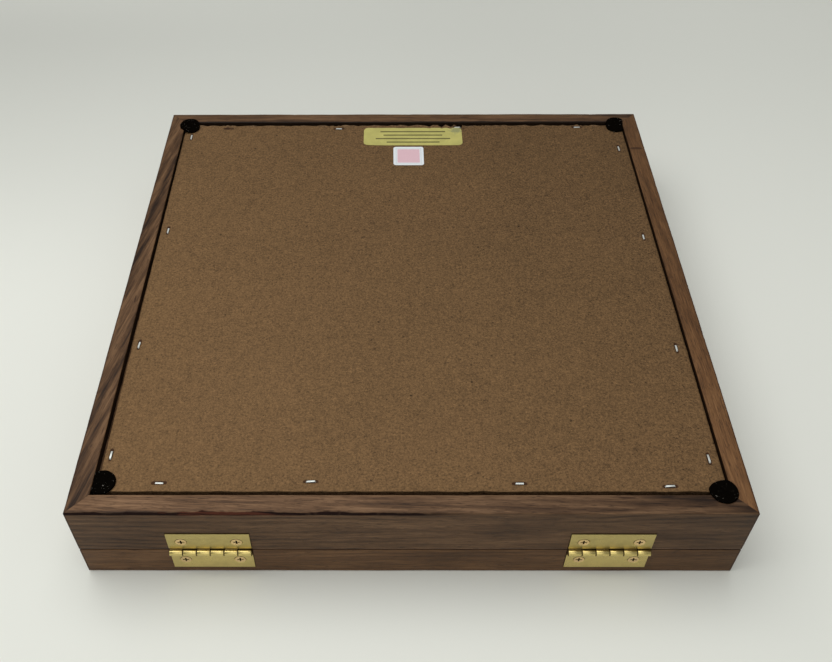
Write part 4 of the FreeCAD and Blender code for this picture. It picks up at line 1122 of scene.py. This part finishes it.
class CASE_OT_staples(bpy.types.Operator):
    """Sixteen wire staples: flat wire bent at two shoulders, each sitting a little differently"""
    bl_idname = "case.staples"
    bl_label = "Staples"

    # Each staple's bared share of its crown and its twist, round the back from the near side's left end.
    SEATS = [
        (0.62, -0.05), (0.78, 0.07), (0.66, 0.0), (0.85, 0.05),
        (0.85, -0.04), (0.7, 0.0), (0.62, 0.0), (0.72, -0.05),
        (0.72, 0.0), (0.7, 0.03), (0.72, 0.0), (0.25, 0.0),
        (0.75, 0.0), (0.7, 0.03), (0.7, 0.05), (0.84, 0.02),
    ]

    def execute(self, context):
        rng = np.random.default_rng([sizes().grain_seed, 4])
        steel = metal("staple_steel", STAPLE_STEEL, STAPLE_RUST, 0.38, 0.6, metallic=0.4)
        thick, shoulder, leg_foot = 0.25 * MM, 0.7 * MM, -2.6 * MM
        arc = np.linspace(0, math.pi / 2, 7)
        leg = np.linspace(0, 1, 4)[:-1]
        side_z = np.concatenate([leg_foot + leg * (-leg_foot - shoulder), shoulder * (np.sin(arc) - 1)])
        angle = np.linspace(0, 2 * math.pi, 16, endpoint=False)
        round_off = (abs(np.cos(angle)) ** 5 + abs(np.sin(angle)) ** 5) ** (-1 / 5)
        wires = []
        for number, (low, high) in enumerate(staples_in_order()):
            bared, twist = self.SEATS[number]
            half = (high - low) / 2
            lengthwise = 0 if half[0] > half[1] else 1
            crown, wide = half[lengthwise], half[1 - lengthwise]
            side_x = np.concatenate([np.full(3, crown - thick), crown - thick - shoulder * (1 - np.cos(arc))])
            path_x = np.concatenate([-side_x, side_x[::-1]])
            path_z = np.concatenate([side_z, side_z[::-1]]) - thick
            tangent = np.stack([np.gradient(path_x), np.gradient(path_z)], axis=-1)
            tangent /= np.linalg.norm(tangent, axis=1)[:, None]
            out, flat = thick * np.sin(angle) * round_off, wide * np.cos(angle) * round_off
            run = path_x[:, None] - tangent[:, 1:2] * out
            rise = path_z[:, None] + tangent[:, 0:1] * out
            tilt = rng.normal(0, 0.015)
            bow = thick * (abs(run) / (crown * bared * 0.9)) ** 6
            sunk = 0.12 * MM + np.minimum(bow, 0.9 * MM)
            side = np.broadcast_to(flat, run.shape)
            turned_run = run * math.cos(twist) - side * math.sin(twist)
            turned_side = run * math.sin(twist) + side * math.cos(twist)
            height = high[2] - sunk + rise + run * tilt
            middle = (low + high) / 2
            ways = [turned_run, turned_side] if lengthwise == 0 else [turned_side, turned_run]
            wires.append(carried(np.stack([middle[0] + ways[0], middle[1] + ways[1], height], axis=-1)))
        piece = mesh_piece("back_panel_staple_wires", *joined(wires), "box", steel, "steel")
        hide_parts("back_panel_staples")
        return {"FINISHED"}


class CASE_OT_felt_feet(bpy.types.Operator):
    """Four round felt feet, stuck over the corners and sagging from the rim down to the hardboard"""
    bl_idname = "case.felt_feet"
    bl_label = "Felt feet"

    def execute(self, context):
        material = felted("felt_black", colours().felt, lint=0.8)
        radius = (corners_of("felt_foot_far_left")[1] - corners_of("felt_foot_far_left")[0])[0] / 2
        recess = HALF_WIDTH - LIP
        recess_y = HALF_DEPTH - LIP
        thickness = 1.2 * MM
        for number, corner in enumerate(("near_left", "near_right", "far_left", "far_right")):
            rng = np.random.default_rng([sizes().grain_seed, 5, number])
            low, high = corners_of(f"felt_foot_{corner}")
            sign_x = -1 if "left" in corner else 1
            sign_y = -1 if "near" in corner else 1
            inner = high if sign_x < 0 else low
            centre_x = inner[0] + sign_x * radius
            centre_y = (high if sign_y < 0 else low)[1] + sign_y * radius
            angle = np.linspace(0, 2 * math.pi, 72, endpoint=False)
            outer = radius * (1 + 0.012 * waves(rng, 0.5, 4, 6, angle))
            outer[-1] = outer[0]
            shares = np.concatenate([np.linspace(0.04, 0.93, 16), [0.96, 0.985, 1.0]])
            ring_x = centre_x + shares[:, None] * outer * np.cos(angle)
            ring_y = centre_y + shares[:, None] * outer * np.sin(angle)
            clear = FELT_CLEARANCE
            if corner == "near_left":
                ring_x = np.maximum(ring_x, -recess + clear)
                ring_y = np.maximum(ring_y, -recess_y + clear)
            if corner == "far_right":
                ring_x = np.minimum(ring_x, recess - clear)
            to_side = recess - sign_x * ring_x
            to_end = recess_y - sign_y * ring_y
            if corner == "near_left":
                to_rim = np.full(ring_x.shape, 1.0)
            elif corner == "far_right":
                to_rim = to_end
            else:
                to_rim = np.minimum(to_side, to_end)
            sag = smooth(-0.6 * MM, 6.5 * MM, to_rim)
            bed = RIM + (PANEL_FACE - RIM) * sag
            fuzz = 0.05 * MM * waves(rng, 0.6 * MM, 5 * MM, 12, ring_x, ring_y)
            edge = np.sqrt(np.maximum(1 - ((shares - 0.93) / 0.07).clip(0, 1) ** 2, 0))[:, None]
            top = bed + thickness * (0.35 + 0.63 * edge) + fuzz * edge
            under = bed + 0.03 * MM + thickness * 0.2 * (1 - edge)
            rings_top = np.stack([ring_x, ring_y, top], axis=-1)
            rings_under = np.stack([ring_x, ring_y, under], axis=-1)[::-1]
            piece = mesh_piece(f"felt_pad_{corner}", *capped_rings(np.concatenate([rings_top, rings_under])),
                               "box", material, "felt", sharp=60)
            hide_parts(f"felt_foot_{corner}")
        return {"FINISHED"}


def rounded_rectangle(half_x, half_y, corner, lines_x, lines_y):
    """Grid over a rectangle with round corners: each row is as long as the outline is at its height."""
    v = np.sign(lines_y) * half_y * abs(lines_y)
    over = np.clip(abs(v) - (half_y - corner), 0, corner)
    reach = half_x - (corner - np.sqrt(corner ** 2 - over ** 2))
    return lines_x[:, None] * reach[None, :], np.broadcast_to(v[None, :], (len(lines_x), len(v)))


def sticker(node, name, material, slot, corner, lift, seed):
    """A thin label on the hardboard: it follows the board's face, with a slight ripple and lifted corners."""
    rng = np.random.default_rng([sizes().grain_seed, 6, seed])
    low, high = corners_of(node)
    centre, half = (low + high) / 2, (high - low) / 2
    close = 1 - 0.5 * (1 - np.cos(np.linspace(0, math.pi, 49)))
    lines = 2 * close[::-1] - 1
    u, v = rounded_rectangle(half[0], half[1], corner, lines, lines)
    corner_share = (abs(u) / half[0]) ** 6 * (abs(v) / half[1]) ** 6
    ripple = 0.025 * MM * waves(rng, 3 * MM, 22 * MM, 8, u, v)
    top_height = high[2] - 0.03 * MM + ripple + lift * corner_share * (0.6 + 0.4 * np.sign(u * v))
    top = np.stack([centre[0] + u, centre[1] + v, top_height], axis=-1)
    thick = 0.12 * MM
    bottom = np.stack([centre[0] + u, centre[1] + v, np.maximum(top_height - thick, low[2])], axis=-1)
    piece = mesh_piece(name, *slab(top, bottom), "box", material, slot, sharp=50)
    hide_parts(node)
    return piece


class CASE_OT_labels(bpy.types.Operator):
    """The long foil label and the square paper sticker, both without any lettering"""
    bl_idname = "case.labels"
    bl_label = "Labels"

    def execute(self, context):
        low, high = corners_of("gold_label")
        half = (high - low) / 2
        gold = gold_foil("gold_foil_olive", (low + high) / 2, half[0], half[1])
        sticker("gold_label", "gold_label_foil", gold, "gold_foil", 3.2 * MM, 0.35 * MM, 1)
        low, high = corners_of("white_sticker")
        paper = printed_paper("sticker_paper", (low + high) / 2, (high[0] - low[0]) / 2)
        sticker("white_sticker", "white_sticker_paper", paper, "white_paper", 1.6 * MM, 0.12 * MM, 2)
        return {"FINISHED"}


class CASE_OT_display_pad(bpy.types.Operator):
    """Cloth-covered pad, crowned towards the glass, with its cloth brought up round the foam"""
    bl_idname = "case.display_pad"
    bl_label = "Display pad"

    def execute(self, context):
        rng = np.random.default_rng([sizes().grain_seed, 7])
        low, high = corners_of("display_pad_cover")
        foam_low, foam_high = corners_of("display_pad_foam")
        centre, half = (low + high) / 2, (high - low) / 2
        foam_half = (foam_high - foam_low) / 2 + 0.02 * MM
        edge = 2.0 * MM
        hair = 0.01 * MM
        lines = []
        for axis in (0, 1):
            inner = np.linspace(-foam_half[axis], foam_half[axis], 97)
            outer = half[axis] - edge * (1 - np.cos(np.linspace(0, math.pi / 2, 6)))
            outer = outer[outer > foam_half[axis] + hair]
            wall = np.concatenate([[foam_half[axis] + hair], outer[::-1]])
            lines.append(np.concatenate([-wall[::-1], inner, wall]))
        u, v = np.meshgrid(lines[0], lines[1], indexing="ij")
        over_foam = (abs(u) <= foam_half[0] + hair / 2) & (abs(v) <= foam_half[1] + hair / 2)
        back = np.where(over_foam, foam_low[2] - 0.02 * MM, high[2] - 0.05 * MM)
        inset = np.minimum(half[0] - abs(u), half[1] - abs(v))
        crown = (1 - (u / half[0]) ** 4) * (1 - (v / half[1]) ** 4)
        pull = 0.12 * MM * waves(rng, 14 * MM, 90 * MM, 9, u, v) * smooth(2 * MM, 20 * MM, inset)
        front = low[2] + edge_drop(inset, edge) - sizes().pad_crown * crown * smooth(0, 22 * MM, inset) + pull
        top = np.stack([centre[0] + u, centre[1] + v, back], axis=-1)
        bottom = np.stack([centre[0] + u, centre[1] + v, front], axis=-1)
        piece = mesh_piece("display_pad_cloth", *slab(top, bottom), "box",
                           woven_cloth("lining_cloth", colours().lining), "lining", sharp=50)
        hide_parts("display_pad_cover")
        dress("display_pad_foam", foam_board("foam_cream"))
        return {"FINISHED"}


class CASE_OT_nails(bpy.types.Operator):
    """Corner nails and glass brads, and the filler over the corner nails' heads"""
    bl_idname = "case.nails"
    bl_label = "Nails and filler"

    def execute(self, context):
        steel = metal("nail_steel", NAIL_STEEL, NAIL_RUST, 0.42)
        filler = putty("nail_filler")
        for node in ("box_corner_nails", "lid_corner_nails", "glass_stop_brads"):
            dress(node, steel)
        angle = np.linspace(0, 2 * math.pi, 28, endpoint=False)
        shares = np.array([0.25, 0.6, 0.85, 1.0, 1.0])
        proud = np.array([0.05, 0.045, 0.03, 0.0, -0.4]) * MM
        for body in ("box", "lid"):
            dots = []
            for low, high in solids_of(f"{body}_corner_nails"):
                middle = (low + high) / 2
                sign = 1 if middle[0] > 0 else -1
                seeds = [sizes().grain_seed, 8, int(abs(middle[2]) / MM), int(abs(middle[1]))]
                rng = np.random.default_rng(seeds)
                reach = 1.15 * MM * (1 + 0.05 * np.sin(3 * angle + rng.uniform(0, 6)))
                dot = np.stack(np.broadcast_arrays(
                    sign * (HALF_WIDTH + proud[:, None]), middle[1] + shares[:, None] * reach * np.cos(angle),
                    middle[2] + shares[:, None] * reach * np.sin(angle)), axis=-1)
                dots.append(capped_rings(dot))
            mesh_piece(f"{body}_nail_filler", *joined(dots), body, filler, "walnut")
        return {"FINISHED"}


class CASE_OT_hinges(bpy.types.Operator):
    """Two butt hinges, their pins and screws, in dull plated brass"""
    bl_idname = "case.hinges"
    bl_label = "Hinges"

    def execute(self, context):
        base = colours().brass
        leaf_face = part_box("hinge_left_box_screws")[0].y
        tarnish = BRASS_TARNISH
        pin_low, pin_high = corners_of("hinge_left_pin")
        leaf_low, leaf_high = corners_of("hinge_left_box_leaf")
        middle = (pin_low + pin_high) / 2
        knuckles = 6
        barrel = (middle, abs(middle[0]), middle[1] - leaf_low[1], (leaf_high[0] - leaf_low[0]) / knuckles)
        # The hollows below the leaves' and screws' faces and the lines round the barrel get painted shade.
        brass = metal("hinge_brass", base, tarnish, 0.3, 0.4,
                      hollow_shade=(leaf_face + 0.08 * MM, 0.5 * MM), pin=barrel)
        screw = metal("screw_brass", SCREW_BRASS, tarnish, 0.3, 0.2,
                      hollow_shade=(leaf_face + 0.12 * MM, 0.3 * MM))
        edge = sizes().metal_edge
        for side in ("left", "right"):
            for body in ("box", "lid"):
                dress(f"hinge_{side}_{body}_leaf", brass, edge)
                dress(f"hinge_{side}_{body}_screws", screw, edge * 0.6)
            dress(f"hinge_{side}_pin", brass, edge)
        return {"FINISHED"}


class CASE_OT_clasp(bpy.types.Operator):
    """Swing clasp of the latch side, in the hinges' brass"""
    bl_idname = "case.clasp"
    bl_label = "Clasp"

    def execute(self, context):
        brass = metal("clasp_brass", colours().brass, CLASP_TARNISH, 0.32, 0.5)
        screw = metal("clasp_screw_brass", CLASP_SCREW, CLASP_SCREW_TARNISH, 0.3, 0.2)
        edge = sizes().metal_edge
        for node in ("clasp_base_plate", "clasp_catch_plate", "clasp_pivot_rivet", "clasp_catch_stud",
                     "clasp_hook"):
            dress(node, brass, edge)
        for node in ("clasp_base_screws", "clasp_catch_screws"):
            dress(node, screw, edge)
        return {"FINISHED"}


class CASE_OT_stage(bpy.types.Operator):
    """Pale ground that curves up all round, soft lights and the camera"""
    bl_idname = "case.stage"
    bl_label = "Stage"

    # Each light's name, place, the point it faces, its side in metres and its power in watts.
    LIGHTS = (
        ("overhead_softbox", (-0.30, 0.07, 1.20), (0, 0, 0), 1.3, 12.0),
        ("left_softbox", (-1.25, -0.1, 0.9), (0, 0, 0.02), 0.9, 0.8),
        ("front_fill", (-0.1, -1.25, 0.75), (0, 0, 0), 1.0, 2.8),
    )
    CAMERA_PLACE = (-0.00914, -0.37246, 0.40491)
    CAMERA_HEADING, CAMERA_DIP, CAMERA_ROLL = 0.397, 46.26, -0.324

    def execute(self, context):
        scene = context.scene
        flat, bend, top = 1.7, 0.7, 1.4
        arc = np.linspace(0, math.pi / 2, 17)
        reach = np.concatenate([[0.02, 0.4, 0.9, 1.3], flat + bend * np.sin(arc), [flat + bend]])
        height = np.concatenate([[0, 0, 0, 0], bend * (1 - np.cos(arc)), [top]])
        angle = np.linspace(0, 2 * math.pi, 96, endpoint=False)
        rings = np.stack(np.broadcast_arrays(reach[:, None] * np.cos(angle), reach[:, None] * np.sin(angle),
                                             height[:, None]), axis=-1)
        rows, columns = rings.shape[:2]
        mesh = bpy.data.meshes.new("ground")
        faces = grid_faces(rows, columns, closed=True)
        mesh.from_pydata(rings.reshape(-1, 3).tolist(), [], [list(range(columns)), *faces.tolist()])
        mesh.polygons.foreach_set("use_smooth", np.ones(len(mesh.polygons), bool))
        mesh.materials.append(ground("ground_matt"))
        floor = bpy.data.objects.new("ground", mesh)
        scene.collection.objects.link(floor)

        for light in self.LIGHTS:
            self.softbox(*light)
        world = bpy.data.worlds.new("studio")
        world.use_nodes = True
        background = world.node_tree.nodes["Background"]
        background.inputs["Color"].default_value = (0.95, 0.97, 1.0, 1)
        background.inputs["Strength"].default_value = 0.33
        scene.world = world
        scene.view_settings.view_transform = "Standard"

        camera_data = bpy.data.cameras.new("camera")
        camera_data.sensor_width = 36
        camera_data.lens = 40.42
        camera_data.shift_x = 0.0369
        camera_data.shift_y = -0.0169
        camera_data.clip_start = 0.01
        camera = bpy.data.objects.new("camera", camera_data)
        turn = Matrix.Rotation(math.radians(self.CAMERA_HEADING), 4, "Z")
        tilt = Matrix.Rotation(math.radians(90 - self.CAMERA_DIP), 4, "X")
        roll = Matrix.Rotation(math.radians(self.CAMERA_ROLL), 4, "Z")
        camera.matrix_world = Matrix.Translation(self.CAMERA_PLACE) @ turn @ tilt @ roll
        scene.collection.objects.link(camera)
        scene.camera = camera
        return {"FINISHED"}

    def softbox(self, name, place, aim, size, power):
        """A square area light that faces a point."""
        light = bpy.data.lights.new(name, "AREA")
        light.shape = "SQUARE"
        light.size = size
        light.energy = power
        lamp = bpy.data.objects.new(name, light)
        lamp.location = place
        lamp.rotation_euler = (Vector(aim) - Vector(place)).to_track_quat("-Z", "Y").to_euler()
        bpy.context.scene.collection.objects.link(lamp)


OPERATORS = (
    CASE_OT_stage, CASE_OT_box_rails, CASE_OT_lid_rails, CASE_OT_glass_stops, CASE_OT_glass_pane,
    CASE_OT_back_panel, CASE_OT_staples, CASE_OT_felt_feet, CASE_OT_labels, CASE_OT_display_pad,
    CASE_OT_nails, CASE_OT_hinges, CASE_OT_clasp,
)


class CASE_PT_panel(bpy.types.Panel):
    """Lists the case's pieces, sizes and colours"""
    bl_label = "Display case"
    bl_idname = "CASE_PT_panel"
    bl_space_type = "VIEW_3D"
    bl_region_type = "UI"
    bl_category = "Display case"

    def draw(self, context):
        for group in (context.scene.case_sizes, context.scene.case_colours):
            for name in group.__annotations__:
                self.layout.prop(group, name)
        for operator in OPERATORS:
            self.layout.operator(operator.bl_idname)


CLASSES = (CaseSizes, CaseColours, *OPERATORS, CASE_PT_panel)


def register():
    for kind in CLASSES:
        bpy.utils.register_class(kind)
    bpy.types.Scene.case_sizes = PointerProperty(type=CaseSizes)
    bpy.types.Scene.case_colours = PointerProperty(type=CaseColours)


def unregister():
    del bpy.types.Scene.case_colours
    del bpy.types.Scene.case_sizes
    for kind in reversed(CLASSES):
        bpy.utils.unregister_class(kind)


def main():
    register()
    for operator in OPERATORS:
        group, name = operator.bl_idname.split(".")
        getattr(getattr(bpy.ops, group), name)()


if __name__ == "__main__":
    main()
